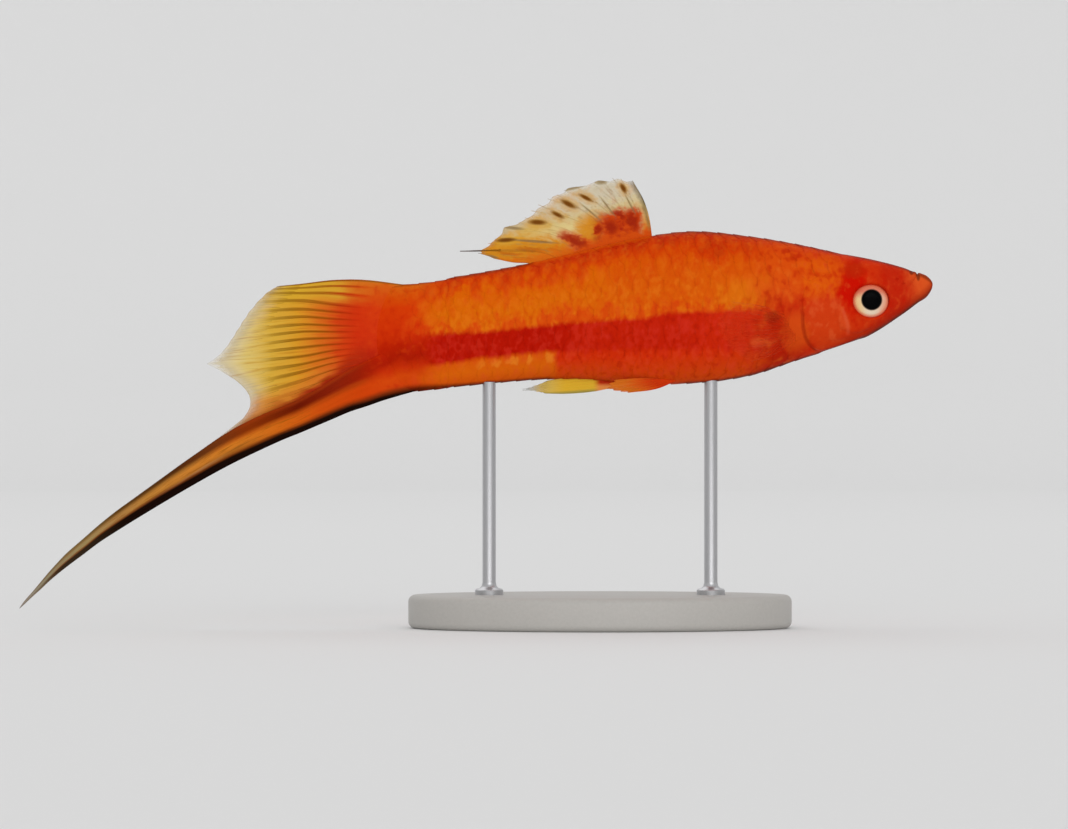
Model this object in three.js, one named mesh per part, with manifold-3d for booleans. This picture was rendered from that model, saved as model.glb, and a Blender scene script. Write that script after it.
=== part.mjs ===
// A life-size male swordtail, held up on a small two-rod display stand.
// Millimetres. +X points from the tail to the head, +Z is up, and the fish's right flank faces -Y.
// The origin is the centre of the stand's underside.
import * as THREE from "three";
import { mergeVertices } from "three/addons/utils/BufferGeometryUtils.js";
import Module from "manifold-3d";

const wasm = await Module();
wasm.setup();

// Driving sizes
const GAP = 0.3; // free space between two pieces that meet
const SNOUT = { x: 39.9, z: 41.2 };
const BODY_LENGTH = 64; // from the snout to the root of the tail fin
const MEMBRANE_HALF = 0.25; // half the thickness of a fin between its rays
const FIN_TIP_SHARE = 0.5; // how thin a fin gets at its tips
const RAY_RIDGE = 0.22; // how far a ray stands proud of the membrane on each side

// The body's outline at named places: distance behind the snout, height of the back and of the belly from
// the snout's level, half the width, the widest level as a share of the depth, and how square the back is.
const STATIONS = [
  { name: "lips", at: 1.6, back: 1.25, belly: -2.1, half: 1.6, waist: 0.5, square: 2.3 },
  { name: "nostrils", at: 3.6, back: 2.1, belly: -3.6, half: 2.45, waist: 0.48, square: 2.7 },
  { name: "eyes", at: 7.5, back: 3.1, belly: -6.1, half: 3.6, waist: 0.46, square: 2.8 },
  { name: "cheeks", at: 11.2, back: 3.8, belly: -7.55, half: 4.3, waist: 0.48, square: 2.6 },
  { name: "gill edge", at: 16, back: 4.85, belly: -9.05, half: 4.75, waist: 0.5, square: 2.3 },
  { name: "shoulders", at: 22, back: 5.85, belly: -11, half: 4.9, waist: 0.52, square: 2.2 },
  { name: "breast", at: 29, back: 6.45, belly: -11.9, half: 4.75, waist: 0.54, square: 2.1 },
  { name: "hips", at: 36, back: 5.5, belly: -11.9, half: 4.25, waist: 0.55, square: 2.1 },
  { name: "vent", at: 42, back: 4.1, belly: -11.4, half: 3.6, waist: 0.54, square: 2.1 },
  { name: "loin", at: 48, back: 2.7, belly: -11.5, half: 2.95, waist: 0.53, square: 2.1 },
  { name: "tail stalk", at: 56, back: 1.2, belly: -12.2, half: 2.15, waist: 0.52, square: 2.1 },
  { name: "tail root", at: BODY_LENGTH, back: 0.1, belly: -12.95, half: 1.35, waist: 0.52, square: 2.2 },
  { name: "in the fin", at: BODY_LENGTH + 4, back: 0, belly: -13.6, half: 0.8, waist: 0.52, square: 2.2 },
];
const TIP_LENGTH = STATIONS[0].at; // the rounded end of the snout
const BELLY_SQUARE = 2;
const AROUND = 24; // points round a section of the body
const HEAD_STEP = 1.1; // distance between sections in the head, and in the rest of the body
const TRUNK_STEP = 2;

// Head. The eyes, nostrils and mouth line are placed in the side view, x forwards and z up.
const EYE = { x: 32.5, z: 39.2, radius: 2.1, depth: 1.55, middle: 2.35, rim: 0.5, rimHeight: 0.12 };
const MOUTH = { front: [38.3, 42.9], corner: [36.6, 40.5], chin: [35.2, 37.2], lip: 0.4, lipHeight: 0.1 };
const MOUTH_ACROSS = [0.8, -0.6]; // from the head's side of the mouth line to the jaw's side
const NOSTRILS = [{ x: 35.5, z: 41.85, y: 2.5 }, { x: 36.3, z: 41.3, y: 2.3 }];
const NOSTRIL_RADIUS = 0.26;
const HEAD_EDGE = { top: 26.2, flank: 21, low: 25.9 }; // where the head ends on nape, flank and throat

// A gill cover's outline in the side view, as the ends and bends of four curves.
const GILL_COVER = {
  ends: [[27.6, 42.2], [23.5, 37.7], [26.6, 33.0], [29.3, 37.0]],
  bends: [[23.5, 42.2], [23.6, 33.8], [29.2, 33.4], [29.4, 41.4]],
  middle: [26.5, 37.6],
  thickness: 0.75,
  proud: 0.12,
  inner: 0.6, // the two covers stay this far from the fish's midline
};

// Where the trunk meets the tail stalk, and the curved root of the tail fin
const LOIN_X = -6.7;
const TAIL_EDGE = { x: -23.5, bulge: 2.1, top: 41.7, low: 27.9 };

// Fins: the root runs from the first ray to the last, and the tips follow a curve through a few points. The
// rays split at the share fork of their length, the membrane falls short by the share notch between them, the
// first and last rays bow by the shares bows, the tips sway sideways, and thick is half the root's thickness.
const UNSPLIT = 2;
const DORSAL = {
  rays: 12, rows: 7, fork: 0.65, notch: 0.05,
  root: [[6.3, 46.1], [-6.2, 43.2]],
  tips: [[4.1, 53.5], [1.4, 54.7], [-3.9, 52.8], [-8.6, 50.3], [-11.6, 48.2], [-16.8, 45.2]],
  bows: [0.05, -0.06], sway: 0.9, thick: 0.5,
};
const FAN = {
  rays: 14, rows: 8, fork: 0.4, notch: 0.03,
  root: [[0, 41.2], [0, 33.2]],
  tips: [[-39.4, 40.9], [-42.8, 36.8], [-47.2, 31.9], [-43.4, 29.9], [-42.2, 26.8], [-46.3, 22.4]],
  bows: [0.03, -0.02], sway: -0.7,
};
const SWORD = {
  rays: 4, rows: 22, fork: UNSPLIT, notch: 0,
  upper: [[-23, 33.2], [-31.2, 29], [-46.3, 22.3], [-57.1, 14.6], [-65.2, 7.8], [-69.5, 2.5]],
  lower: [[-22, 28.4], [-34.6, 24.9], [-42.3, 21], [-55.9, 13], [-64.6, 7.3], [-69.7, 2.35]],
  sway: -1.2, slope: 30,
};
const GONOPODIUM = {
  rays: 2, rows: 9, fork: UNSPLIT, notch: 0,
  root: [[4.9, 29.7], [2.2, 30]],
  tips: [[-9.2, 28.4], [-8.9, 28.65], [-8.2, 28.9]],
  bows: [-0.05, -0.02], sway: 0, thick: 0.42,
};

// A paired fin is drawn flat about its root, then placed on one side, splayed out and rolled.
const PELVIC = {
  rays: 5, rows: 5, fork: 0.5, notch: 0.06,
  root: [[0.9, 0.5], [-0.9, 0.5]],
  tips: [[-5.4, -2.1], [-8.2, -1.3], [-7, -0.1]],
  bows: [-0.06, 0.02], sway: 0.2, thick: 0.35,
  place: [8.7, 1.45, 29.4], splay: 14, roll: 22,
};
const PECTORAL = {
  rays: 9, rows: 5, fork: 0.5, notch: 0.05,
  root: [[0.9, 1.25], [0.9, -1.25]],
  tips: [[-8.2, 3.4], [-10.6, 0.6], [-9, -2.6], [-6.4, -3.9]],
  bows: [0.05, -0.05], sway: 0.5, thick: 0.35,
  place: [22.5, 4.5, 35.7], splay: 36, roll: 6,
};

// Stand
const BASE = { length: 46, depth: 30, height: 4, bevel: 0.8 };
const ROD = { reach: 13.3, radius: 0.8, footRadius: 1.7, footHeight: 0.7 };

const REACH = 60; // farther than any part of the fish, for the blocks that cut it

const { lerp, smoothstep, degToRad } = THREE.MathUtils;

// A smooth curve of one value through the stations.
function curveThrough(stations, key) {
  const last = stations.length - 1;
  const slope = stations.map((_, i) => {
    const [a, b] = [stations[Math.max(i - 1, 0)], stations[Math.min(i + 1, last)]];
    return (b[key] - a[key]) / (b.at - a.at);
  });
  return (at) => {
    let i = 0;
    while (i < last - 1 && at > stations[i + 1].at) i += 1;
    const [a, b] = [stations[i], stations[i + 1]];
    const span = b.at - a.at;
    const t = (at - a.at) / span;
    const pull = span * t * (1 - t) * (slope[i] * (1 - t) - slope[i + 1] * t);
    return lerp(a[key], b[key], smoothstep(t, 0, 1)) + pull;
  };
}

const [backAt, bellyAt, halfAt, waistAt, squareAt] = ["back", "belly", "half", "waist", "square"].map(
  (key) => curveThrough(STATIONS, key),
);

// The body's section at a distance behind the snout, in heights above the floor.
function sectionAt(at) {
  const round = at < TIP_LENGTH ? Math.sqrt(Math.max(at, 0) / TIP_LENGTH) : 1;
  const from = Math.max(at, TIP_LENGTH);
  const [back, belly] = [SNOUT.z + backAt(from) * round, SNOUT.z + bellyAt(from) * round];
  const waist = lerp(belly, back, waistAt(from));
  return { back, belly, waist, half: halfAt(from) * round, square: squareAt(from) };
}

// A point on the body's skin, moved out by grow. Angle 0 is the left flank and a quarter turn the back.
function skinPoint(at, angle, grow) {
  const { back, belly, half, waist, square } = sectionAt(at);
  const [across, up] = [Math.cos(angle), Math.sin(angle)];
  const tall = up >= 0 ? back - waist : waist - belly;
  const power = up >= 0 ? square : BELLY_SQUARE;
  const bend = (value, p) => Math.sign(value) * Math.abs(value) ** p;
  const [y, z] = [bend(across, 2 / power), bend(up, 2 / power)];
  const out = new THREE.Vector2(bend(y, power - 1) / half, bend(z, power - 1) / tall).normalize();
  const ahead = grow * Math.max(0, 1 - at / TIP_LENGTH);
  return new THREE.Vector3(SNOUT.x - at + ahead, half * y + grow * out.x, waist + tall * z + grow * out.y);
}

// Half the body's thickness at a place in the side view.
function fleshHalf(x, z) {
  const { back, belly, half, waist, square } = sectionAt(SNOUT.x - x);
  const up = Math.abs((z - waist) / (z > waist ? back - waist : waist - belly));
  const power = z > waist ? square : BELLY_SQUARE;
  return half * Math.max(0, 1 - up ** power) ** (1 / power);
}

// A geometry from points and faces of three or four corners, turned to face outwards.
function closedGeometry(points, faces) {
  const index = faces.flatMap(([a, b, c, d]) => (d === undefined ? [a, b, c] : [a, b, c, a, c, d]));
  let volume = 0;
  for (let i = 0; i < index.length; i += 3) {
    const [a, b, c] = [points[index[i]], points[index[i + 1]], points[index[i + 2]]];
    volume += a.dot(new THREE.Vector3().crossVectors(b, c));
  }
  if (volume < 0) index.reverse();
  return new THREE.BufferGeometry().setFromPoints(points).setIndex(index);
}

function solidFrom(geometry) {
  const bare = geometry.clone();
  bare.deleteAttribute("normal");
  bare.deleteAttribute("uv");
  const merged = mergeVertices(bare, 1e-4);
  const vertProperties = merged.attributes.position.array;
  const triVerts = new Uint32Array(merged.index.array);
  return new wasm.Manifold(new wasm.Mesh({ numProp: 3, vertProperties, triVerts }));
}

// The largest closed surface of a solid, as a geometry.
function geometryFrom(solid) {
  const [largest] = solid.decompose().sort((a, b) => b.volume() - a.volume());
  const mesh = largest.getMesh();
  const geometry = new THREE.BufferGeometry();
  geometry.setAttribute("position", new THREE.BufferAttribute(mesh.vertProperties, 3));
  geometry.setIndex(new THREE.BufferAttribute(mesh.triVerts, 1));
  geometry.computeVertexNormals();
  return geometry;
}

// The whole body as one closed loft, grown or shrunk all over.
function bodySolid(grow) {
  const places = [0.03, 0.15, 0.4, 0.9];
  const trunkStart = STATIONS.find(({ name }) => name === "gill edge").at;
  for (let at = TIP_LENGTH; at < BODY_LENGTH + 3.5; at += at < trunkStart ? HEAD_STEP : TRUNK_STEP) {
    places.push(at);
  }
  const turns = Array.from({ length: AROUND }, (_, k) => (2 * Math.PI * k) / AROUND);
  const points = places.flatMap((at) => turns.map((angle) => skinPoint(at, angle, grow)));
  const nose = points.push(new THREE.Vector3(SNOUT.x + grow, 0, SNOUT.z)) - 1;
  const end = places.at(-1);
  const stub = points.push(new THREE.Vector3(SNOUT.x - end, 0, sectionAt(end).waist)) - 1;
  const lastRing = (places.length - 1) * AROUND;
  const faces = [];
  for (let k = 0; k < AROUND; k += 1) {
    const next = (k + 1) % AROUND;
    faces.push([nose, next, k], [stub, lastRing + k, lastRing + next]);
    for (let ring = 0; ring < lastRing; ring += AROUND) {
      faces.push([ring + k, ring + next, ring + AROUND + next, ring + AROUND + k]);
    }
  }
  return solidFrom(closedGeometry(points, faces));
}

function outline(points) {
  return new THREE.Shape(points.map(([x, z]) => new THREE.Vector2(x, z)));
}

// A flat outline in the side view, made into a block that runs across the fish from near to far.
function block(shape, near = -REACH, far = REACH) {
  const geometry = new THREE.ExtrudeGeometry(shape, {
    depth: far - near,
    bevelEnabled: false,
    curveSegments: 10,
  });
  geometry.rotateX(Math.PI / 2);
  geometry.translate(0, far, 0);
  return solidFrom(geometry);
}

// Everything in front of the curved line where the head ends, moved back by shift.
function headBlock(shift) {
  const { top, flank, low } = HEAD_EDGE;
  const [nape, throat] = [46.5, 31.5];
  const shape = outline([[REACH, 0], [REACH, REACH], [top - shift, REACH], [top - shift, nape]]);
  shape.quadraticCurveTo(flank - shift, (nape + throat) / 2, low - shift, throat);
  shape.lineTo(low - shift, 0);
  return block(shape);
}

// Everything on the jaw's side of the mouth line, moved away from it by shift.
function jawBlock(shift) {
  const { front, corner, chin } = MOUTH;
  const [x, z] = MOUTH_ACROSS.map((part) => part * shift);
  const line = [[front[0] + 0.9, front[1] + 1.3], corner, chin].map((p) => [p[0] + x, p[1] + z]);
  return block(outline([...line, [chin[0] + x, 0], [REACH, 0], [REACH, line[0][1]]]));
}

// A strip along the mouth line between two distances from it, where the lips stand proud.
function lipStrip(from, to) {
  const { front, corner } = MOUTH;
  const [across, up] = MOUTH_ACROSS;
  const high = [front[0] + 0.9, front[1] + 1.3];
  const moved = (p, distance) => [p[0] + across * distance, p[1] + up * distance];
  return block(outline([moved(corner, from), moved(high, from), moved(high, to), moved(corner, to)]));
}

// A gill cover's outline on one side of the head, grown by a margin.
function gillBlock(side, margin) {
  const { ends, bends, middle, inner } = GILL_COVER;
  const grown = (p) => p.map((value, i) => value + margin * Math.sign(value - middle[i]));
  const shape = new THREE.Shape();
  shape.moveTo(...grown(ends[0]));
  bends.forEach((bend, i) => {
    shape.quadraticCurveTo(...grown(bend), ...grown(ends[(i + 1) % ends.length]));
  });
  return side > 0 ? block(shape, inner, REACH) : block(shape, -REACH, -inner);
}

function ball([x, y, z], [rx, ry, rz], columns, rows) {
  const geometry = new THREE.SphereGeometry(1, columns, rows);
  geometry.rotateX(Math.PI / 2);
  geometry.scale(rx, ry, rz);
  geometry.translate(x, y, z);
  return solidFrom(geometry);
}

function eyeball(side, grow) {
  const [wide, deep] = [EYE.radius + grow, EYE.depth + grow];
  return ball([EYE.x, side * EYE.middle, EYE.z], [wide, deep, wide], 20, 10);
}

// Everything in front of the curved root of the tail fin, moved back by shift.
function tailBlock(shift) {
  const { x, bulge, top, low } = TAIL_EDGE;
  const shape = outline([[REACH, 0], [REACH, REACH], [x - shift, REACH], [x - shift, top]]);
  shape.quadraticCurveTo(x - 2 * bulge - shift, (top + low) / 2, x - shift, low);
  shape.lineTo(x - shift, 0);
  return block(shape);
}

// The fin's root at a height: where the tail stalk ends, and half its thickness there.
function tailRoot(z) {
  const { x: edge, bulge, top, low } = TAIL_EDGE;
  const t = (z - low) / (top - low);
  const x = edge - 4 * bulge * t * (1 - t);
  return { x, half: Math.max(fleshHalf(x, z), MEMBRANE_HALF) };
}

// Strips of a fin that each ray takes up: where they lie, and how high they stand before and after the ray
// forks. A strip with a low edge reaches farther out at the tips, as the membrane falls short between rays.
const RAY_PARTS = [
  { place: 0, before: 0, after: 0, edge: 1 },
  { place: 0.3, before: 0.4, after: 1, edge: 0.1 },
  { place: 0.5, before: 1, after: 0.15, edge: 0.5 },
  { place: 0.7, before: 0.4, after: 1, edge: 0.1 },
];

// A fin as one closed body. place(u, s, edge) gives its middle surface, u across the rays and s to the tips.
function finGeometry({ rays, rows, fork, place, rootHalf }) {
  const columns = [];
  for (let ray = 0; ray < rays; ray += 1) {
    columns.push(...RAY_PARTS.map((part) => ({ u: (ray + part.place) / rays, part })));
  }
  columns.push({ u: 1, part: RAY_PARTS[0] });
  const points = [];
  for (const side of [1, -1]) {
    for (const { u, part } of columns) {
      for (let row = 0; row <= rows; row += 1) {
        const s = row / rows;
        const high = lerp(part.before, part.after, smoothstep(s, fork - 0.1, fork + 0.1));
        const flesh = lerp(rootHalf(u), MEMBRANE_HALF, smoothstep(s, 0, 0.3));
        const thin = lerp(1, FIN_TIP_SHARE, smoothstep(s, 0.75, 1));
        const half = flesh * thin + RAY_RIDGE * high * (1 - 0.4 * s);
        const point = place(u, s, part.edge);
        points.push(new THREE.Vector3(point.x, point.y + side * half, point.z));
      }
    }
  }
  const step = rows + 1;
  const back = columns.length * step; // where the points of the far side begin
  const far = back - step;
  const faces = [];
  for (let root = 0; root < far; root += step) {
    const tip = root + rows;
    faces.push([root, root + back, root + step + back, root + step]);
    faces.push([tip, tip + step, tip + step + back, tip + back]);
    for (let a = root; a < tip; a += 1) {
      const [b, c, d] = [a + step, a + step + 1, a + 1];
      faces.push([a, b, c, d], [d + back, c + back, b + back, a + back]);
    }
  }
  for (let row = 0; row < rows; row += 1) {
    faces.push([row, row + 1, row + 1 + back, row + back]);
    faces.push([far + row, far + row + back, far + row + 1 + back, far + row + 1]);
  }
  return closedGeometry(points, faces);
}

function curveOf(points) {
  return new THREE.CatmullRomCurve3(points.map(([x, z]) => new THREE.Vector3(x, 0, z)));
}

function straightRoot({ root: [first, last] }) {
  return (u) => new THREE.Vector3(lerp(first[0], last[0], u), 0, lerp(first[1], last[1], u));
}

// A fin whose rays run from a root to a curve of tips, bowed in the side view and swaying to the sides.
function fanned(fin, rootPoint = straightRoot(fin), rootHalf = () => fin.thick) {
  const tips = curveOf(fin.tips);
  const place = (u, s, edge) => {
    const root = rootPoint(u);
    const chord = tips.getPointAt(u).sub(root);
    const reach = s * (1 - fin.notch * edge);
    const bow = 4 * lerp(fin.bows[0], fin.bows[1], u) * reach * (1 - reach);
    const sway = fin.sway * reach * reach * Math.sin(Math.PI * (0.25 + 1.2 * u));
    const [x, z] = [chord.x * reach + chord.z * bow, chord.z * reach - chord.x * bow];
    return new THREE.Vector3(root.x + x, sway, root.z + z);
  };
  return finGeometry({ ...fin, place, rootHalf });
}

// The sword lies between two edge curves that meet at its point.
function swordGeometry() {
  const [upper, lower] = [curveOf(SWORD.upper), curveOf(SWORD.lower)];
  const place = (u, s) => {
    const point = upper.getPointAt(s).lerp(lower.getPointAt(s), u);
    return point.setY(SWORD.sway * s * s);
  };
  const top = SWORD.upper[0][1];
  const rootHalf = (u) => tailRoot(lerp(top, TAIL_EDGE.low, u)).half;
  return finGeometry({ ...SWORD, place, rootHalf });
}

// Everything below the sword's upper edge and the gap above it.
function belowSword() {
  const rise = GAP / Math.cos(degToRad(SWORD.slope));
  const edge = curveOf(SWORD.upper).getPoints(20).map(({ x, z }) => [x, z + rise]);
  return block(outline([[REACH, edge[0][1]], ...edge, [-2 * REACH, 0], [REACH, 0]]));
}

// A paired fin on one side of the body.
function pairedFin(fin, side) {
  const turn = new THREE.Euler(degToRad(side * fin.roll), 0, degToRad(-side * fin.splay), "ZYX");
  const [x, y, z] = fin.place;
  const matrix = new THREE.Matrix4().makeRotationFromEuler(turn).setPosition(x, side * y, z);
  return fanned(fin).applyMatrix4(matrix);
}

const BODY = bodySolid(0);
const AROUND_BODY = bodySolid(GAP);

function finish(colour, roughness, metalness = 0) {
  return new THREE.MeshStandardMaterial({ color: colour, roughness, metalness });
}

const FLESH = finish(0xd9480f, 0.4);
const HEAD_RED = finish(0xc22d0a, 0.4);
const FIN_YELLOW = finish(0xe0b040, 0.45);
const FIN_ORANGE = finish(0xd97a20, 0.45);
const EYE_SILVER = finish(0xe9dcc4, 0.15);
const STAND_GREY = finish(0x9c9a96, 0.5, 0.3);
const ROD_STEEL = finish(0xb8b8b8, 0.3, 1);

function piece(name, solid, material) {
  const mesh = new THREE.Mesh(geometryFrom(solid), material);
  mesh.name = name;
  return mesh;
}

function head() {
  const lips = bodySolid(MOUTH.lipHeight).intersect(lipStrip(-MOUTH.lip, 0));
  let solid = BODY.intersect(headBlock(0)).subtract(jawBlock(0)).add(lips);
  const lining = bodySolid(-GILL_COVER.thickness - GAP);
  const rims = bodySolid(EYE.rimHeight);
  for (const side of [1, -1]) {
    solid = solid.add(rims.intersect(eyeball(side, EYE.rim))).subtract(eyeball(side, GAP));
    solid = solid.subtract(gillBlock(side, GAP).subtract(lining));
    for (const { x, y, z } of NOSTRILS) {
      const size = [NOSTRIL_RADIUS, 2 * NOSTRIL_RADIUS, NOSTRIL_RADIUS];
      solid = solid.subtract(ball([x, side * y, z], size, 8, 6));
    }
  }
  return piece("head", solid, HEAD_RED);
}

function lowerJaw() {
  const lip = bodySolid(MOUTH.lipHeight).intersect(lipStrip(GAP, GAP + MOUTH.lip));
  return piece("lower_jaw", BODY.intersect(jawBlock(GAP)).add(lip), HEAD_RED);
}

function gillCover(side, name) {
  const plate = bodySolid(GILL_COVER.proud).subtract(bodySolid(-GILL_COVER.thickness));
  return piece(name, plate.intersect(gillBlock(side, 0)), HEAD_RED);
}

function torso() {
  const loin = block(outline([[LOIN_X, 0], [LOIN_X, REACH], [REACH, REACH], [REACH, 0]]));
  return piece("torso", BODY.intersect(loin).subtract(headBlock(GAP)), FLESH);
}

function tailStalk() {
  const end = LOIN_X - GAP;
  const loin = block(outline([[end, 0], [end, REACH], [REACH, REACH], [REACH, 0]]));
  return piece("tail_stalk", BODY.intersect(tailBlock(0)).subtract(loin), FLESH);
}

function dorsalFin() {
  return piece("dorsal_fin", solidFrom(fanned(DORSAL)).subtract(AROUND_BODY), FIN_YELLOW);
}

// The tail fin is as thick at its root as the end of the stalk that it grows from.
function tailFan() {
  const heightAt = (u) => lerp(FAN.root[0][1], FAN.root[1][1], u);
  const root = (u) => new THREE.Vector3(tailRoot(heightAt(u)).x + 1, 0, heightAt(u));
  const solid = solidFrom(fanned(FAN, root, (u) => tailRoot(heightAt(u)).half));
  return piece("tail_fan", solid.subtract(tailBlock(GAP)).subtract(belowSword()), FIN_YELLOW);
}

function sword() {
  return piece("sword", solidFrom(swordGeometry()).subtract(tailBlock(GAP)), FIN_ORANGE);
}

function gonopodium() {
  return piece("gonopodium", solidFrom(fanned(GONOPODIUM)).subtract(AROUND_BODY), FIN_YELLOW);
}

function standBase() {
  const { length, depth, height, bevel } = BASE;
  const shape = new THREE.Shape();
  shape.absellipse(0, 0, length / 2 - bevel, depth / 2 - bevel, 0, 2 * Math.PI);
  const geometry = new THREE.ExtrudeGeometry(shape, {
    depth: height - 2 * bevel,
    bevelSize: bevel,
    bevelThickness: bevel,
    bevelSegments: 2,
    curveSegments: 24,
  });
  geometry.translate(0, 0, bevel);
  return piece("stand_base", solidFrom(geometry), STAND_GREY);
}

// A rod with a small foot, from the base up to the belly, which cuts it to length.
function standRod(x, name) {
  const { radius, footRadius, footHeight } = ROD;
  const foot = BASE.height + GAP;
  const rim = foot + 0.6 * footHeight;
  const profile = [[0, foot], [footRadius, foot], [footRadius, rim], [radius, foot + footHeight]];
  profile.push([radius, SNOUT.z], [0, SNOUT.z]);
  const geometry = new THREE.LatheGeometry(profile.map(([r, z]) => new THREE.Vector2(r, z)), 16);
  geometry.rotateX(Math.PI / 2);
  geometry.translate(x, 0, 0);
  return piece(name, solidFrom(geometry).subtract(AROUND_BODY), ROD_STEEL);
}

const fish = new THREE.Group();
fish.add(head(), lowerJaw(), torso(), tailStalk(), dorsalFin(), tailFan(), sword(), gonopodium());
for (const [side, word] of [[1, "left"], [-1, "right"]]) {
  fish.add(piece("eye_" + word, eyeball(side, 0), EYE_SILVER), gillCover(side, "gill_cover_" + word));
  for (const [fin, name] of [[PECTORAL, "pectoral_fin_"], [PELVIC, "pelvic_fin_"]]) {
    fish.add(piece(name + word, solidFrom(pairedFin(fin, side)).subtract(AROUND_BODY), FIN_ORANGE));
  }
}

const stand = new THREE.Group();
stand.add(standBase(), standRod(ROD.reach, "stand_rod_front"), standRod(-ROD.reach, "stand_rod_rear"));

const model = new THREE.Group();
model.add(fish, stand);

export default model;
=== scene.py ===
# %% [markdown]
# # A male swordtail on a display stand
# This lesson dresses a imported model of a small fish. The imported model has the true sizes, and every
# piece made here goes where it says. The fish is about 11 centimetres long with its sword, so sizes are
# written in millimetres and turned into Blender's metres when a piece is made.

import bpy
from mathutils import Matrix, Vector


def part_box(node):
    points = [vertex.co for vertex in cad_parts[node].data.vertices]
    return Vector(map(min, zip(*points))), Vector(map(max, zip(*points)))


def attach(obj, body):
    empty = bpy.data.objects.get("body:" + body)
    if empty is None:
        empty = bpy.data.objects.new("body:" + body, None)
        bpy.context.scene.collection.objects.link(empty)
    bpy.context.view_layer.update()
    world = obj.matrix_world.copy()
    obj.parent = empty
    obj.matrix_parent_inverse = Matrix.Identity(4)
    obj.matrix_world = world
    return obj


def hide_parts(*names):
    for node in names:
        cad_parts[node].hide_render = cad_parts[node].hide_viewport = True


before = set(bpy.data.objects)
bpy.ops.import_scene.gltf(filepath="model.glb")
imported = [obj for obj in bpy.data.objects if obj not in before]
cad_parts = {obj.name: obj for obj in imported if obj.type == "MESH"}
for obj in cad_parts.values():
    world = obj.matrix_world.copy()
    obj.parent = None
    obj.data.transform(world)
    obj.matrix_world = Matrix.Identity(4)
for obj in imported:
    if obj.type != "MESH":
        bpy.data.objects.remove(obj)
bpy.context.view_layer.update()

# %% Tools for the whole lesson
import math

import bpy
import numpy as np

MM = 0.001
BODY = "root"  # the model is still, so it has one body
SIDES = {"left": 1, "right": -1}  # the right flank faces the camera, towards -Y

# %% [markdown]
# ## Camera
# The picture shows the fish straight from its right side, with hardly any perspective. A long lens from
# far away does the same. The picture's width at the fish sets the distance.

# %% Camera
VIEW = {"x": -7.92, "z": 25.62, "width": 128.16}  # middle and width of the picture at the fish
LENS = 200
SENSOR = 36

distance = VIEW["width"] * LENS / SENSOR
bpy.ops.object.camera_add(
    location=(VIEW["x"] * MM, -distance * MM, VIEW["z"] * MM),
    rotation=(math.pi / 2, 0, 0),
)
camera = bpy.context.active_object
camera.data.lens = LENS
camera.data.sensor_width = SENSOR
camera.data.clip_start = 0.01
bpy.context.scene.camera = camera
bpy.context.scene.view_settings.view_transform = "Standard"
print("camera distance in millimetres:", round(distance, 1))

# %% [markdown]
# ## Shader maths as Python
# A node tree for a painted fish needs many sums. One small class wraps a node's output, so that
# `1 - mask * 0.5` adds the Math nodes by itself. Every other node comes from one method, `node`.


# %% The class that wraps a node's output
class Value:
    """One output of a node, which Python's operators turn into Math nodes."""

    def __init__(self, paint, socket):
        self.paint = paint
        self.socket = socket

    def __add__(self, other):
        return self.paint.maths("ADD", self, other)

    __radd__ = __add__

    def __sub__(self, other):
        return self.paint.maths("SUBTRACT", self, other)

    def __rsub__(self, other):
        return self.paint.maths("SUBTRACT", other, self)

    def __mul__(self, other):
        return self.paint.maths("MULTIPLY", self, other)

    __rmul__ = __mul__

    def __truediv__(self, other):
        return self.paint.maths("DIVIDE", self, other)

    def __rtruediv__(self, other):
        return self.paint.maths("DIVIDE", other, self)

    def __neg__(self):
        return self * -1


# %% The class that holds a material
def colour(red, green, blue):
    """A colour as a screen shows it, from 0 to 255, turned into the light that Blender counts in."""

    def linear(part):
        part = part / 255
        return part / 12.92 if part <= 0.04045 else ((part + 0.055) / 1.055) ** 2.4

    return (linear(red), linear(green), linear(blue), 1.0)


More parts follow.
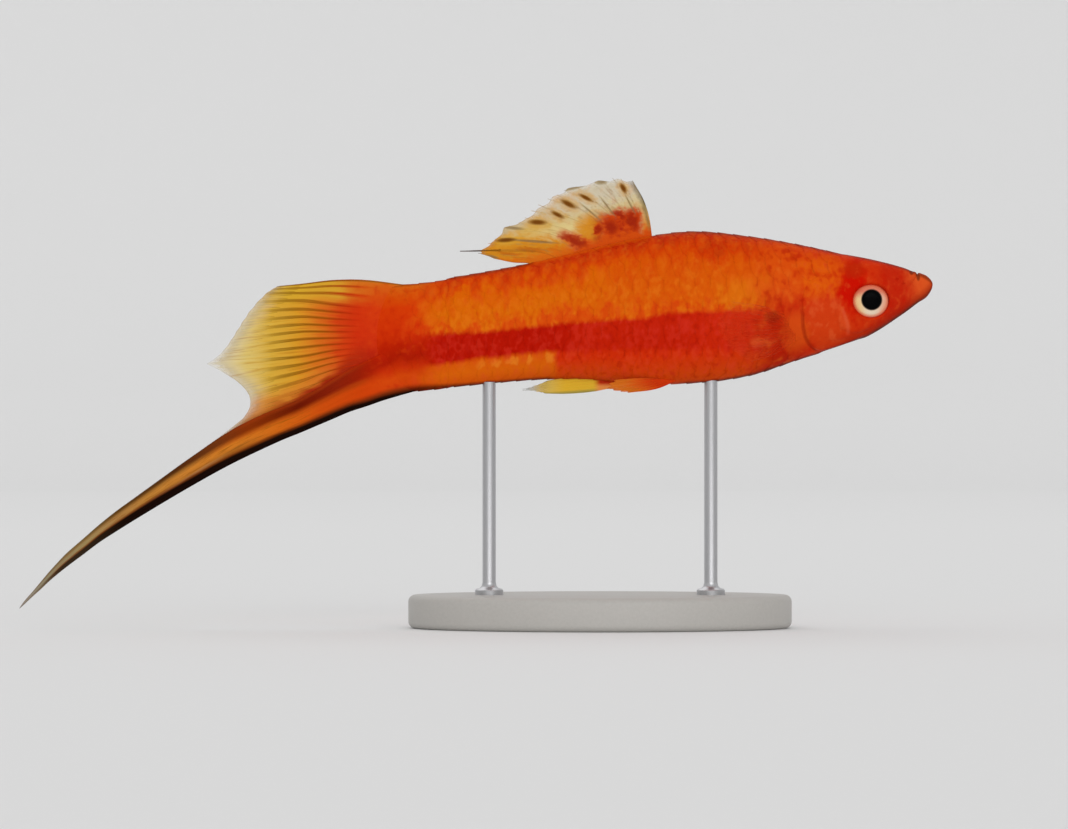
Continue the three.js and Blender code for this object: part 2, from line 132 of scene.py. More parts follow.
class Paint:
    """A material and the nodes in it. A colour is a node's output, or three numbers up to 255."""

    def __init__(self, name):
        self.material = bpy.data.materials.new(name)
        self.material.use_nodes = True
        self.tree = self.material.node_tree
        self.shader = self.tree.nodes["Principled BSDF"]

    def feed(self, socket, value):
        """Gives a socket a link, or a plain value."""
        if isinstance(value, Value):
            self.tree.links.new(value.socket, socket)
        else:
            socket.default_value = value

    def set(self, node, **inputs):
        """Gives a node's sockets by name. An underscore in a name stands for a space."""
        for name, value in inputs.items():
            self.feed(node.inputs[name.replace("_", " ")], value)

    def finish(self, **inputs):
        self.set(self.shader, **inputs)

    def node(self, kind, output=0, settings=None, sockets=None, **inputs):
        """Adds a node: its settings first, then its sockets by number and by name."""
        made = self.tree.nodes.new("ShaderNode" + kind)
        for name, value in (settings or {}).items():
            if name == "points":
                self.bend_line(made.mapping, value)
            elif name == "stops":
                self.place_stops(made.color_ramp.elements, value)
            else:
                setattr(made, name, value)
        for number, value in (sockets or {}).items():
            self.feed(made.inputs[number], value)
        self.set(made, **inputs)
        return Value(self, made.outputs[output])

    def bend_line(self, mapping, points):
        line = mapping.curves[0].points
        for spot in points[2:]:
            line.new(*spot)
        for point, spot in zip(line, sorted(points)):
            point.location = spot
        mapping.update()

    def place_stops(self, elements, stops):
        for place, *_ in stops[2:]:
            elements.new(place)
        for element, (place, *tint) in zip(elements, stops):
            element.position, element.color = place, colour(*tint)

    def maths(self, operation, *values):
        return self.node("Math", settings={"operation": operation}, sockets=dict(enumerate(values)))

    def smooth(self, value, low, high):
        """0 below low, 1 above high, and a smooth step between them."""
        return self.node(
            "MapRange",
            settings={"interpolation_type": "SMOOTHSTEP"},
            Value=value,
            From_Min=low,
            From_Max=high,
        )

    def fall(self, value, low, high):
        """1 below low, 0 above high, and a smooth step between them."""
        return 1 - self.smooth(value, low, high)

    def distance(self, across, up):
        return self.maths("SQRT", across * across + up * up)

    def mix(self, one, other, share):
        """A colour between two colours."""
        one, other = [tint if isinstance(tint, Value) else colour(*tint) for tint in (one, other)]
        return self.node(
            "Mix",
            output=2,
            settings={"data_type": "RGBA", "clamp_factor": True},
            sockets={0: share, 6: one, 7: other},
        )

    def layers(self, base, *coats):
        """Colours laid over one another, each with the mask that says where it shows."""
        for tint, mask in coats:
            base = self.mix(base, tint, mask)
        return base

    def curve(self, value, places, heights):
        """A smooth curve of heights over places, both in real sizes."""
        low, high = min(heights) - 1, max(heights) + 1
        start, span = places[0], places[-1] - places[0]
        points = [((x - start) / span, (y - low) / (high - low)) for x, y in zip(places, heights)]
        line = self.node("FloatCurve", settings={"points": points}, Value=(value - start) / span)
        return line * (high - low) + low

    def ramp(self, value, *stops):
        """Colours that follow one another as a value goes from 0 to 1."""
        return self.node("ValToRGB", settings={"stops": stops}, Fac=value)

    def place(self):
        """The point on the fish in millimetres: along, across and up."""
        split = self.node("SeparateXYZ", Vector=self.node("TexCoord", output=3)).socket.node
        return [Value(self, split.outputs[axis]) / MM for axis in range(3)]

    def plan(self, name):
        """The two coordinates of a piece's own flat plan."""
        plan = self.node("UVMap", settings={"uv_map": name})
        split = self.node("SeparateXYZ", Vector=plan).socket.node
        return Value(self, split.outputs[0]), Value(self, split.outputs[1])

    def noise(self, size, detail=2.0, stretch=(1, 1, 1)):
        """Cloudy noise from 0 to 1. Size is in millimetres, and stretch makes it longer on an axis."""
        scaled = self.node(
            "Mapping",
            Vector=self.node("TexCoord", output=3),
            Scale=[1 / (size * MM * part) for part in stretch],
        )
        return self.node("TexNoise", Vector=scaled, Scale=1.0, Detail=detail)

    def threads(self, across, along):
        """Fine uneven lines around 0 that run lengthwise, from two coordinates of a plan."""
        spot = self.node("CombineXYZ", X=across, Y=along)
        return self.node("TexNoise", Vector=spot, Scale=1.0, Detail=3.0) - 0.5

    def bump(self, height, depth):
        """A bump whose height from 0 to 1 is depth millimetres."""
        return self.node("Bump", Height=height, Distance=depth * MM, Strength=1.0)

# %% [markdown]
# ## Studio
# A museum photographs a model on a seamless pale sweep: a floor that curves up into the walls all round,
# so that no horizon shows. It starts as one circle, whose edge is extruded outwards and upwards in steps.
# The floor's middle is filled last. Soft light comes from the sky and from two suns as broad as large lamps.

# %% Sweep
FLOOR_RADIUS = 1300
SWEEP_RADIUS = 260
SWEEP_STEPS = 14
WALL = 60
PAPER_FAR = 2000  # the paper's greys are given for shares of this distance from the middle
PAPER_GREYS = ((0.0, 226), (0.3, 226), (0.62, 223), (0.66, 221), (0.7, 217), (0.8, 210))

bpy.ops.object.select_all(action="DESELECT")
bpy.ops.mesh.primitive_circle_add(vertices=96, radius=FLOOR_RADIUS * MM)
sweep = bpy.context.active_object
sweep.name = "sweep"
bpy.ops.object.mode_set(mode="EDIT")
reach, height = FLOOR_RADIUS, 0
for number in range(1, SWEEP_STEPS + 2):
    angle = math.pi / 2 * min(number, SWEEP_STEPS) / SWEEP_STEPS
    next_reach = FLOOR_RADIUS + SWEEP_RADIUS * math.sin(angle)
    next_height = SWEEP_RADIUS * (1 - math.cos(angle)) + (WALL if number > SWEEP_STEPS else 0)
    bpy.ops.mesh.extrude_edges_move(
        TRANSFORM_OT_translate={"value": (0, 0, (next_height - height) * MM)}
    )
    bpy.ops.transform.resize(value=(next_reach / reach, next_reach / reach, 1))
    reach, height = next_reach, next_height
bpy.ops.object.mode_set(mode="OBJECT")
for vertex in sweep.data.vertices:
    vertex.select = vertex.co.xy.length < (FLOOR_RADIUS + 1) * MM
for edge in sweep.data.edges:
    edge.select = all(sweep.data.vertices[i].select for i in edge.vertices)
bpy.ops.object.mode_set(mode="EDIT")
bpy.ops.mesh.edge_face_add()
bpy.ops.mesh.select_all(action="SELECT")
bpy.ops.mesh.normals_make_consistent(inside=True)
bpy.ops.object.mode_set(mode="OBJECT")
bpy.ops.object.shade_smooth()
sweep.visible_shadow = False  # the low front sun shines through the sweep's near wall

paper = Paint("pale_paper")
x, y, z = paper.place()
far = paper.distance(x, y) / PAPER_FAR
tone = paper.ramp(far, *[(share, grey, grey, grey) for share, grey in PAPER_GREYS])
grain = paper.noise(1.5, detail=4)
paper.finish(
    Base_Color=paper.mix(tone, (200, 200, 200), grain * 0.06),
    Roughness=0.9,
    Normal=paper.bump(grain, 0.01),
)
sweep.data.materials.append(paper.material)
print("sweep faces:", len(sweep.data.polygons))

# %% Lights
SKY = 0.694  # the grey of the paper's outer part, so the sweep's edge can't be seen
SUNS = (
    {"name": "front", "height": 8, "around": 188, "spread": 60, "power": 1.2},
    {"name": "back", "height": 60, "around": 20, "spread": 60, "power": 0.5},
)

world = bpy.data.worlds.new("studio")
world.use_nodes = True
world.node_tree.nodes["Background"].inputs["Color"].default_value = (1, 1, 1, 1)
world.node_tree.nodes["Background"].inputs["Strength"].default_value = SKY
bpy.context.scene.world = world
for sun in SUNS:
    bpy.ops.object.light_add(
        type="SUN",
        location=(0, 0, 2),
        rotation=(math.radians(90 - sun["height"]), 0, math.radians(sun["around"] - 180)),
    )
    light = bpy.context.active_object
    light.name = "lamp_" + sun["name"]
    light.data.angle = math.radians(sun["spread"])
    light.data.energy = sun["power"]
print("lamps:", [sun["name"] for sun in SUNS])

# %% [markdown]
# ## Helpers that shape a mesh
# Two ways of working make nearly all of the fish. A flat grid of faces is bent into a form, as a sheet of
# leather is, and a small model is copied many times, each copy bent to its own place.


# %% Helpers for one piece
def alone(piece):
    """Makes one piece the only one that is selected and active."""
    bpy.ops.object.select_all(action="DESELECT")
    piece.select_set(True)
    bpy.context.view_layer.objects.active = piece


def points_of(piece):
    """The places of a piece's points, in millimetres, one row each."""
    flat = np.empty(len(piece.data.vertices) * 3, np.float32)
    piece.data.vertices.foreach_get("co", flat)
    return flat.reshape(-1, 3).astype(float) / MM


def move_points(piece, points):
    piece.data.vertices.foreach_set("co", (points * MM).astype(np.float32).ravel())
    piece.data.update()


def weld(piece, gap=0.0002):
    """Merges points that lie together, in millimetres, and turns the faces outwards."""
    alone(piece)
    bpy.ops.object.mode_set(mode="EDIT")
    bpy.ops.mesh.select_all(action="SELECT")
    bpy.ops.mesh.remove_doubles(threshold=gap * MM)
    bpy.ops.mesh.normals_make_consistent(inside=False)
    bpy.ops.object.mode_set(mode="OBJECT")
    bpy.ops.object.shade_smooth()


def settle(piece, paint, slot, *nodes):
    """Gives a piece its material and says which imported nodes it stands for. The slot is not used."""
    piece.data.materials.clear()
    piece.data.materials.append(paint.material)
    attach(piece, BODY)
    if nodes:
        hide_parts(*nodes)
    print(piece.name, "has", len(piece.data.polygons), "faces")


def bent_sheet(name, columns, rows, shape):
    """A flat grid bent by shape(u, v), where u and v run from 0 to 1. Its plan stays as a UV map."""
    bpy.ops.object.select_all(action="DESELECT")
    bpy.ops.mesh.primitive_grid_add(x_subdivisions=columns, y_subdivisions=rows, size=1)
    piece = bpy.context.active_object
    piece.name = name
    piece.data.uv_layers[0].name = "Plan"
    flat = points_of(piece) * MM + 0.5
    move_points(piece, np.stack(shape(flat[:, 0], flat[:, 1]), axis=1))
    return piece


def apply_modifier(piece, kind, **settings):
    alone(piece)
    modifier = piece.modifiers.new(kind.lower(), kind)
    for name, value in settings.items():
        setattr(modifier, name, value)
    bpy.ops.object.modifier_apply(modifier=modifier.name)


# %% Helpers for many copies
def faces_of(piece):
    return [list(face.vertices) for face in piece.data.polygons]


def bent_copies(name, model, bends):
    """One mesh of many copies of a model. Each bend takes the model's points to their places."""
    points, faces = points_of(model), faces_of(model)
    corners = [point for bend in bends for point in bend(points)]
    polygons = [
        [corner + number * len(points) for corner in face]
        for number in range(len(bends))
        for face in faces
    ]
    mesh = bpy.data.meshes.new(name)
    mesh.from_pydata(np.array(corners) * MM, [], polygons)
    mesh.update()
    piece = bpy.data.objects.new(name, mesh)
    bpy.context.scene.collection.objects.link(piece)
    alone(piece)
    bpy.ops.object.shade_smooth_by_angle(angle=math.radians(50))
    return piece


def step(value, low, high):
    """0 below low, 1 above high, and a smooth step between them, for arrays."""
    share = np.clip((value - low) / (high - low), 0, 1)
    return share * share * (3 - 2 * share)


def hump(value, width):
    """1 at zero, falling smoothly on both sides."""
    return np.exp(-((value / width) ** 2))


# %% [markdown]
# ## The form of the body
# A fish's body is a row of sections from snout to tail, each an oval that is a little squarer along the
# back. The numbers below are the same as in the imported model. A smooth curve runs through each column, so
# a point of the body is known from its distance behind the snout and its angle round the body.

# %% Sections of the body
SNOUT = {"x": 39.9, "z": 41.2}
SECTIONS = {
    "at": (1.6, 3.6, 7.5, 11.2, 16, 22, 29, 36, 42, 48, 56, 64, 68),
    "back": (1.25, 2.1, 3.1, 3.8, 4.85, 5.85, 6.45, 5.5, 4.1, 2.7, 1.2, 0.1, 0),
    "belly": (-2.1, -3.6, -6.1, -7.55, -9.05, -11, -11.9, -11.9, -11.4, -11.5, -12.2, -12.95, -13.6),
    "half": (1.6, 2.45, 3.6, 4.3, 4.75, 4.9, 4.75, 4.25, 3.6, 2.95, 2.15, 1.35, 0.8),
    "waist": (0.5, 0.48, 0.46, 0.48, 0.5, 0.52, 0.54, 0.55, 0.54, 0.53, 0.52, 0.52, 0.52),
    "square": (2.3, 2.7, 2.8, 2.6, 2.3, 2.2, 2.1, 2.1, 2.1, 2.1, 2.1, 2.2, 2.2),
}
TIP = SECTIONS["at"][0]  # the rounded end of the snout
BELLY_SQUARE = 2


def curve_through(places, values):
    """A smooth curve through values at places, as a function for arrays."""
    places, values = np.array(places, float), np.array(values, float)
    ends = np.arange(len(places))
    after, before = np.minimum(ends + 1, ends[-1]), np.maximum(ends - 1, 0)
    slopes = (values[after] - values[before]) / (places[after] - places[before])

    def curve(at):
        i = np.clip(np.searchsorted(places, at) - 1, 0, len(places) - 2)
        span = places[i + 1] - places[i]
        t = (at - places[i]) / span
        pull = span * t * (1 - t) * (slopes[i] * (1 - t) - slopes[i + 1] * t)
        return values[i] + (values[i + 1] - values[i]) * t * t * (3 - 2 * t) + pull

    return curve


form = {key: curve_through(SECTIONS["at"], SECTIONS[key]) for key in SECTIONS if key != "at"}


def section(at):
    """Back, belly, waist, half width and squareness at distances behind the snout."""
    start = np.maximum(at, TIP)
    rounding = np.where(at < TIP, np.sqrt(np.maximum(at, 0) / TIP), 1)
    back = SNOUT["z"] + form["back"](start) * rounding
    belly = SNOUT["z"] + form["belly"](start) * rounding
    waist = belly + (back - belly) * form["waist"](start)
    return back, belly, waist, form["half"](start) * rounding, form["square"](start)


def power(value, exponent):
    return np.sign(value) * np.abs(value) ** exponent


# %% [markdown]
# The root of the tail fin isn't straight: flesh and scales end there in a curve that bulges backwards.
# The last part of the body is drawn out to that curve and gets as thin as the fin.

# %% A point on the body
STALK_START = 58  # from here the sections turn towards the curved root of the tail fin
STALK_END = 67.6
TAIL_EDGE = {"x": -23.5, "bulge": 2.1, "top": 41.7, "low": 27.9, "cover": 1.3}


def tail_edge(z):
    """Where the flesh of the tail stalk ends at a height."""
    t = np.clip((z - TAIL_EDGE["low"]) / (TAIL_EDGE["top"] - TAIL_EDGE["low"]), 0, 1)
    return TAIL_EDGE["x"] - 4 * TAIL_EDGE["bulge"] * t * (1 - t)


def body_point(at, turn, lift):
    """A point on the body, lifted off it. Turn 0 is the left flank and a quarter turn the back."""
    back, belly, waist, half, square = section(at)
    across, up = np.cos(turn), np.sin(turn)
    tall = np.where(up >= 0, back - waist, waist - belly)
    squareness = np.where(up >= 0, square, BELLY_SQUARE)
    y, z = power(across, 2 / squareness), power(up, 2 / squareness)
    out_y = power(y, squareness - 1) / np.maximum(half, 0.01)
    out_z = power(z, squareness - 1) / np.maximum(tall, 0.01)
    length = np.maximum(np.hypot(out_y, out_z), 1e-9)
    ahead = np.maximum(0, 1 - at / TIP) * lift
    height = waist + tall * z + lift * out_z / length
    share = step(at, STALK_START, STALK_END)
    start = SNOUT["x"] - STALK_START
    drawn = start + (tail_edge(height) - TAIL_EDGE["cover"] - SNOUT["x"] + STALK_START) * share
    along = np.where(at > STALK_START, drawn, SNOUT["x"] - at + ahead)
    return np.stack([along, half * y + lift * out_y / length, height], axis=-1)


print("height of the back behind the head:", round(float(section(np.array(20.0))[0]), 2))

# %% [markdown]
# ## One skin
# The real fish has one skin from lips to tail, so it is one sheet here too, and it replaces the packed
# head, jaw, gill covers, torso and tail stalk. It could be carved from a ball, but a sheet wrapped round
# the sections keeps the true outline everywhere. It is sewn along the belly, and its features are then
# pressed into it: the gill covers, the mouth between its lips, the nostrils and the beds of the eyes.

# %% Lines of the head
EYE = {"x": 32.3, "z": 39.2, "wide": 2.34, "tall": 2.12}
GILL_EDGE = (
    (28.4, 42.7), (26.2, 42.3), (24.6, 41.2), (23.95, 39.4), (24.1, 37.4),
    (24.2, 35.9), (24.8, 34.3), (26.1, 33.2), (28.2, 33.6), (30.2, 34.3), (32.0, 35.1),
)
CHEEK_EDGE = ((29.4, 41.6), (28.3, 39.6), (28.0, 37.6), (28.7, 35.9), (30.6, 35.3), (33.4, 36.0))
THROAT_EDGE = ((25.6, 35.2), (27.4, 34.4), (29.6, 34.75), (31.6, 35.5), (33.4, 36.6))


def smooth_line(points, count=60):
    """A smooth line through points, as evenly spaced points."""
    points = np.array(points, float)
    length = np.concatenate([[0], np.cumsum(np.linalg.norm(np.diff(points, axis=0), axis=1))])
    places = np.linspace(0, length[-1], count * 8)
    dense = np.stack([curve_through(length, column)(places) for column in points.T], axis=-1)
    reach = np.concatenate([[0], np.cumsum(np.linalg.norm(np.diff(dense, axis=0), axis=1))])
    even = np.linspace(0, reach[-1], count)
    return np.stack([np.interp(even, reach, column) for column in dense.T], axis=-1)


def beside(x, z, line):
    """Distance to a line in the side view, positive in front of it, and the share of its length."""
    start, end = line[:-1], line[1:]
    along = end - start
    away = np.stack([x, z], axis=-1)[:, None, :] - start
    share = np.clip((away * along).sum(-1) / (along**2).sum(-1), 0, 1)
    gap = away - share[..., None] * along
    distance = np.linalg.norm(gap, axis=-1)
    nearest = distance.argmin(axis=1)
    rows = np.arange(len(x))
    turned = along[nearest, 0] * away[rows, nearest, 1] - along[nearest, 1] * away[rows, nearest, 0]
    return np.sign(turned) * distance[rows, nearest], (nearest + share[rows, nearest]) / len(start)


# %% Relief of the head
# fade: where along its line an edge is fully there, and where it starts to end
# plate: how high the plate in front of the edge stands, and where it has risen, starts to fall and is gone
# groove: its depth, how far behind the line it lies, and its width
EDGES = (
    {"line": GILL_EDGE, "fade": (0.1, 0.93), "plate": (0.13, 0.28, 0.6, 4.5), "groove": (0.14, 0.1, 0.16)},
    {"line": CHEEK_EDGE, "fade": (0.2, 0.8), "plate": (0.09, 0.3, 0.4, 2.2), "groove": (0.07, 0.0, 0.14)},
    {"line": THROAT_EDGE, "fade": (0.2, 0.8), "plate": (0.0, 0.3, 0.4, 2.2), "groove": (0.07, 0.0, 0.13)},
)
# across and up run over the cleft and along it; the cleft has a depth and a width, and the rim on both
# sides of it a height, a place and a width
MOUTH = {
    "corner": (36.6, 40.5), "across": (0.816, -0.578), "up": (0.578, 0.816), "open": (-0.4, 1.6),
    "cleft": (0.2, 0.09), "rim": (0.06, 0.3, 0.2),
    "fold": ((36.6, 40.5), (36.2, 38.9), (35.2, 37.2)), "fold_size": (0.06, 0.14),
}
LIPS = ((38.9, 42.3, 0.24, 0.9), (39.0, 39.7, 0.1, 0.7))  # each lip's middle, height and width
NOSTRILS = ((35.5, 41.85), (36.3, 41.3))
NOSTRIL = {"depth": 0.22, "width": 0.16, "rim": (0.05, 0.3, 0.12)}
EYE_BED = {"depth": 1.6, "ring": (0.09, 0.14, 0.24), "brow": (0.12, 0.4, 0.5)}
HEAD_REACH = 18  # all of it lies within this distance behind the snout


def edge_relief(x, z):
    """The free edge of the gill cover, the edge of the cheek in front of it, and the throat's fold."""
    relief = np.zeros(len(x))
    for edge in EDGES:
        gap, share = beside(x, z, smooth_line(edge["line"]))
        starts, ends = edge["fade"]
        shown = step(share, 0.0, starts) * (1 - step(share, ends, 1.0))
        height, risen, level, gone = edge["plate"]
        plate = height * (step(gap, -0.05, risen) * (1 - step(gap, level, gone)))
        depth, behind, width = edge["groove"]
        relief += shown * (plate - depth * hump(gap + behind, width))
    return relief


def mouth_relief(x, z):
    """The cleft of the mouth between two lips, the fold behind its corner, and the nostrils."""
    away_x, away_z = x - MOUTH["corner"][0], z - MOUTH["corner"][1]
    over = away_x * MOUTH["across"][0] + away_z * MOUTH["across"][1]
    along = away_x * MOUTH["up"][0] + away_z * MOUTH["up"][1]
    height, beyond, width = MOUTH["rim"]
    rim = height * hump(np.abs(over) - beyond, width)
    depth, width = MOUTH["cleft"]
    relief = step(along, *MOUTH["open"]) * (rim - depth * hump(over, width))
    for lip_x, lip_z, height, width in LIPS:
        relief += height * hump(np.hypot(x - lip_x, z - lip_z), width)
    fold, share = beside(x, z, smooth_line(MOUTH["fold"]))
    depth, width = MOUTH["fold_size"]
    relief -= depth * hump(fold, width) * (1 - step(share, 0.45, 1.0))
    for nose_x, nose_z in NOSTRILS:
        away = np.hypot(x - nose_x, z - nose_z)
        height, beyond, width = NOSTRIL["rim"]
        relief += height * hump(away - beyond, width) - NOSTRIL["depth"] * hump(away, NOSTRIL["width"])
    return relief


def eye_relief(x, z):
    """The bed that an eye sits in, the low ring of skin round it, and the brow over it."""
    away = np.hypot((x - EYE["x"]) / EYE["wide"], (z - EYE["z"]) / EYE["tall"]) * EYE["wide"]
    bed = 1 - step(away, EYE["wide"] - 0.5, EYE["wide"] - 0.02)
    height, out, width = EYE_BED["ring"]
    ring = height * hump(away - EYE["wide"] - out, width)
    height, out, width = EYE_BED["brow"]
    brow = height * (hump(away - EYE["wide"] - out, width) * step(z - EYE["z"], 0.0, 1.6))
    return ring + brow - EYE_BED["depth"] * bed


def head_relief(x, z):
    near = x > SNOUT["x"] - HEAD_REACH
    relief = np.zeros(len(x))
    for part in (edge_relief, mouth_relief, eye_relief):
        relief[near] += part(x[near], z[near])
    return relief


# %% Skin
COAT_DEPTH = 0.16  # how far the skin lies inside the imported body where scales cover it
HEAD_DEPTH = 0.04
NECK = (15.2, 17.2)  # between these distances behind the snout the scales of the flank begin
NAPE = 5  # on the nape they begin this much further forward
NAPE_Z = (41.4, 43.4)  # the nape starts and is fully there at these heights
THIN_OVER = 6  # over this length the end of the stalk gets as thin as the fin
SKIN_AROUND = 144
SKIN_ALONG = 236
AT_SPACING = ((0, 0), (0.07, TIP), (0.24, 5.2), (0.52, 17), (0.9, STALK_START + 2), (1, STALK_END))


def skin_places(u):
    """Distances behind the snout for the rings of the skin, closest together at the mouth."""
    share, at = np.array(AT_SPACING).T
    tip = TIP * (u / share[1]) ** 2
    return np.where(u < share[1], tip, np.interp(u, share, at))


def skin_shape(u, v):
    at = skin_places(u)
    turn = v * 2 * math.pi - math.pi / 2
    bare = body_point(at, turn, np.zeros(len(at)))
    scaled = step(at + NAPE * step(bare[:, 2], *NAPE_Z), *NECK)
    depth = HEAD_DEPTH + (COAT_DEPTH - HEAD_DEPTH) * scaled
    depth *= step(at, 0, 0.8)
    points = body_point(at, turn, head_relief(bare[:, 0], bare[:, 2]) - depth)
    points[:, 1] *= step(STALK_END + 0.1 - at, 0, THIN_OVER)
    return points.T


skin = bent_sheet("skin", SKIN_ALONG, SKIN_AROUND, skin_shape)
weld(skin)
print("skin box in millimetres:", points_of(skin).min(0).round(2), points_of(skin).max(0).round(2))

# %% [markdown]
# ## The fish's colours
# The back is red orange and the flank a warmer orange that is yellowest in its middle. A dark red band
# runs from the shoulder to the tail. Below it the belly is red in front and orange behind, and the head
# turns deep red round the eye. Soft masks over real places paint this, so skin and scales read the same
# function and always agree. Noise breaks up the edges, as pigment cells do.

# %% Where the colours lie
OUTLINE_X = (-27.4, -24, -19, -12, -4, 4, 10, 16, 22, 27, 31, 34, 36.4, 38.0, 39.0, 39.7)
outline = section(SNOUT["x"] - np.array(OUTLINE_X))
OUTLINE = {"back": outline[0].tolist(), "belly": outline[1].tolist()}
BAND = {
    "x": (-30, -24, -15, -7.8, -0.6, 4.8, 8.4, 15.6, 21, 26),
    "top": (34.9, 35.1, 35.4, 36.1, 36.8, 37.1, 37.7, 38.0, 38.3, 38.2),
    "low": (30.2, 31.0, 32.2, 33.0, 33.3, 33.4, 33.4, 33.4, 33.4, 33.4),
}
GILL_LINE = ((32.6, 33.4, 34.2, 35.9, 37.4, 39.4, 41.2), (27.2, 25.6, 24.8, 24.2, 24.1, 23.95, 24.6))
CHEEK_LINE = ((34.6, 35.6, 36.4, 37.6, 38.8), (29.5, 29.6, 29.5, 29.1, 28.7))  # heights, then places

# %% Colours by name
# each row of a ramp: its share of the way, then its red, green and blue
FLANK_REAR = (
    (0.0, 210, 72, 9), (0.12, 212, 88, 7), (0.34, 212, 100, 4),
    (0.54, 212, 92, 4), (0.74, 206, 66, 5), (0.94, 194, 48, 6),
)
FLANK_FRONT = (
    (0.0, 210, 70, 9), (0.12, 212, 86, 6), (0.34, 210, 86, 5),
    (0.56, 208, 78, 5), (0.76, 202, 58, 4), (0.94, 186, 40, 4),
)
BELLY_REAR = ((0.0, 212, 84, 9), (0.5, 214, 96, 10), (1.0, 208, 80, 12))
BELLY_FRONT = ((0.0, 190, 28, 3), (0.45, 206, 46, 8), (1.0, 206, 72, 12))
SHOULDER = ((0.0, 176, 34, 8), (0.4, 192, 42, 9), (0.56, 206, 66, 13), (0.72, 212, 78, 12), (1.0, 206, 64, 8))
TAIL_ROOT = (
    (0.0, 200, 58, 10), (0.16, 208, 70, 10), (0.24, 194, 46, 6), (0.32, 166, 26, 3), (0.43, 182, 32, 3),
    (0.54, 204, 48, 6), (0.74, 208, 56, 5), (0.84, 208, 72, 6), (0.94, 208, 98, 18), (1.0, 204, 116, 32),
)
BAND_RED = (178, 19, 2)
HEAD_RED = (200, 47, 11)
SNOUT_RED = (188, 36, 11)
EYE_RED = (196, 15, 0)
GILL_GOLD = (220, 96, 8)
GILL_PINK = (214, 82, 38)
SNOUT_ORANGE = (216, 84, 32)
LINE_BROWN = (74, 28, 10)
LINE_RED = (140, 22, 6)
FREE_EDGE = 0.34  # half width of the lines along the gill cover and the cheek


def blot(paint, x, z, middle, size):
    """A soft round mask at a place in the side view."""
    away_x, away_z = (x - middle[0]) / size[0], (z - middle[1]) / size[1]
    return paint.fall(away_x * away_x + away_z * away_z, 0.1, 1.0)


def streak(paint, gap, width):
    """A soft line where a gap is zero."""
    return paint.fall(paint.maths("ABSOLUTE", gap), 0.2 * width, width)


# %% Colours of flank and belly
BEADS = {"start": -12.5, "apart": 2.1, "below": 0.75}  # a row of pale beads under the band


def trunk_colour(paint, x, z, flame, grain, back, belly):
    """Flank, band and belly, with short upright flames of lighter and darker colour."""
    band_top = paint.curve(x, BAND["x"], BAND["top"])
    band_low = paint.curve(x, BAND["x"], BAND["low"])
    light = paint.smooth(grain + flame * 0.6, 0.0, 0.2)
    dark = paint.smooth(-grain, 0.02, 0.22)
    up = (z + flame * 8 + grain * 3 - band_top) / (back - band_top)
    yellow = blot(paint, x + flame * 8, z + grain * 4, (18.0, 40.0), (4.6, 2.4))
    calm = 1 - paint.smooth(up, 0.5, 0.85) * 0.6
    flank = paint.layers(
        paint.ramp(up, *FLANK_REAR),
        (paint.ramp(up, *FLANK_FRONT), paint.smooth(x + flame * 8, -5.0, 6.0)),
        ((216, 112, 12), yellow * 0.7),
        ((226, 120, 22), light * calm * 0.32),
        ((200, 58, 4), dark * calm * 0.32),
    )
    band = paint.layers(
        BAND_RED,
        ((190, 30, 5), paint.smooth(x + flame * 6, -6.0, 0.0)),
        ((200, 38, 8), paint.smooth(x + flame * 6, 9.0, 14.0)),
        ((210, 50, 34), light * 0.32),
        ((156, 10, 2), dark * 0.32),
    )
    waves = (x - BEADS["start"] + flame * 2) * (2 * math.pi / BEADS["apart"])
    off_row = (band_low - z - BEADS["below"]) * 1.4
    beads = paint.maths("COSINE", waves) * 0.5 - off_row * off_row + grain * 1.2
    beads = paint.smooth(beads, -0.5, 0.4) * paint.smooth(x, -18.0, -12.0)
    rear = paint.ramp((band_low - z) / (band_low - belly), *BELLY_REAR)
    front = paint.layers(
        paint.ramp((band_top - 2 - z) / (band_top - 2 - belly), *BELLY_FRONT),
        ((214, 64, 30), light * 0.4),
        ((168, 20, 4), dark * 0.35),
    )
    low = paint.layers(rear, ((228, 128, 34), beads * 0.65), (front, paint.smooth(x, -5.8, -4.8)))
    low = paint.mix(band, low, paint.smooth(band_low - z, -0.4, 0.4))
    return paint.mix(flank, low, paint.smooth(band_top - z, -0.4, 0.4))


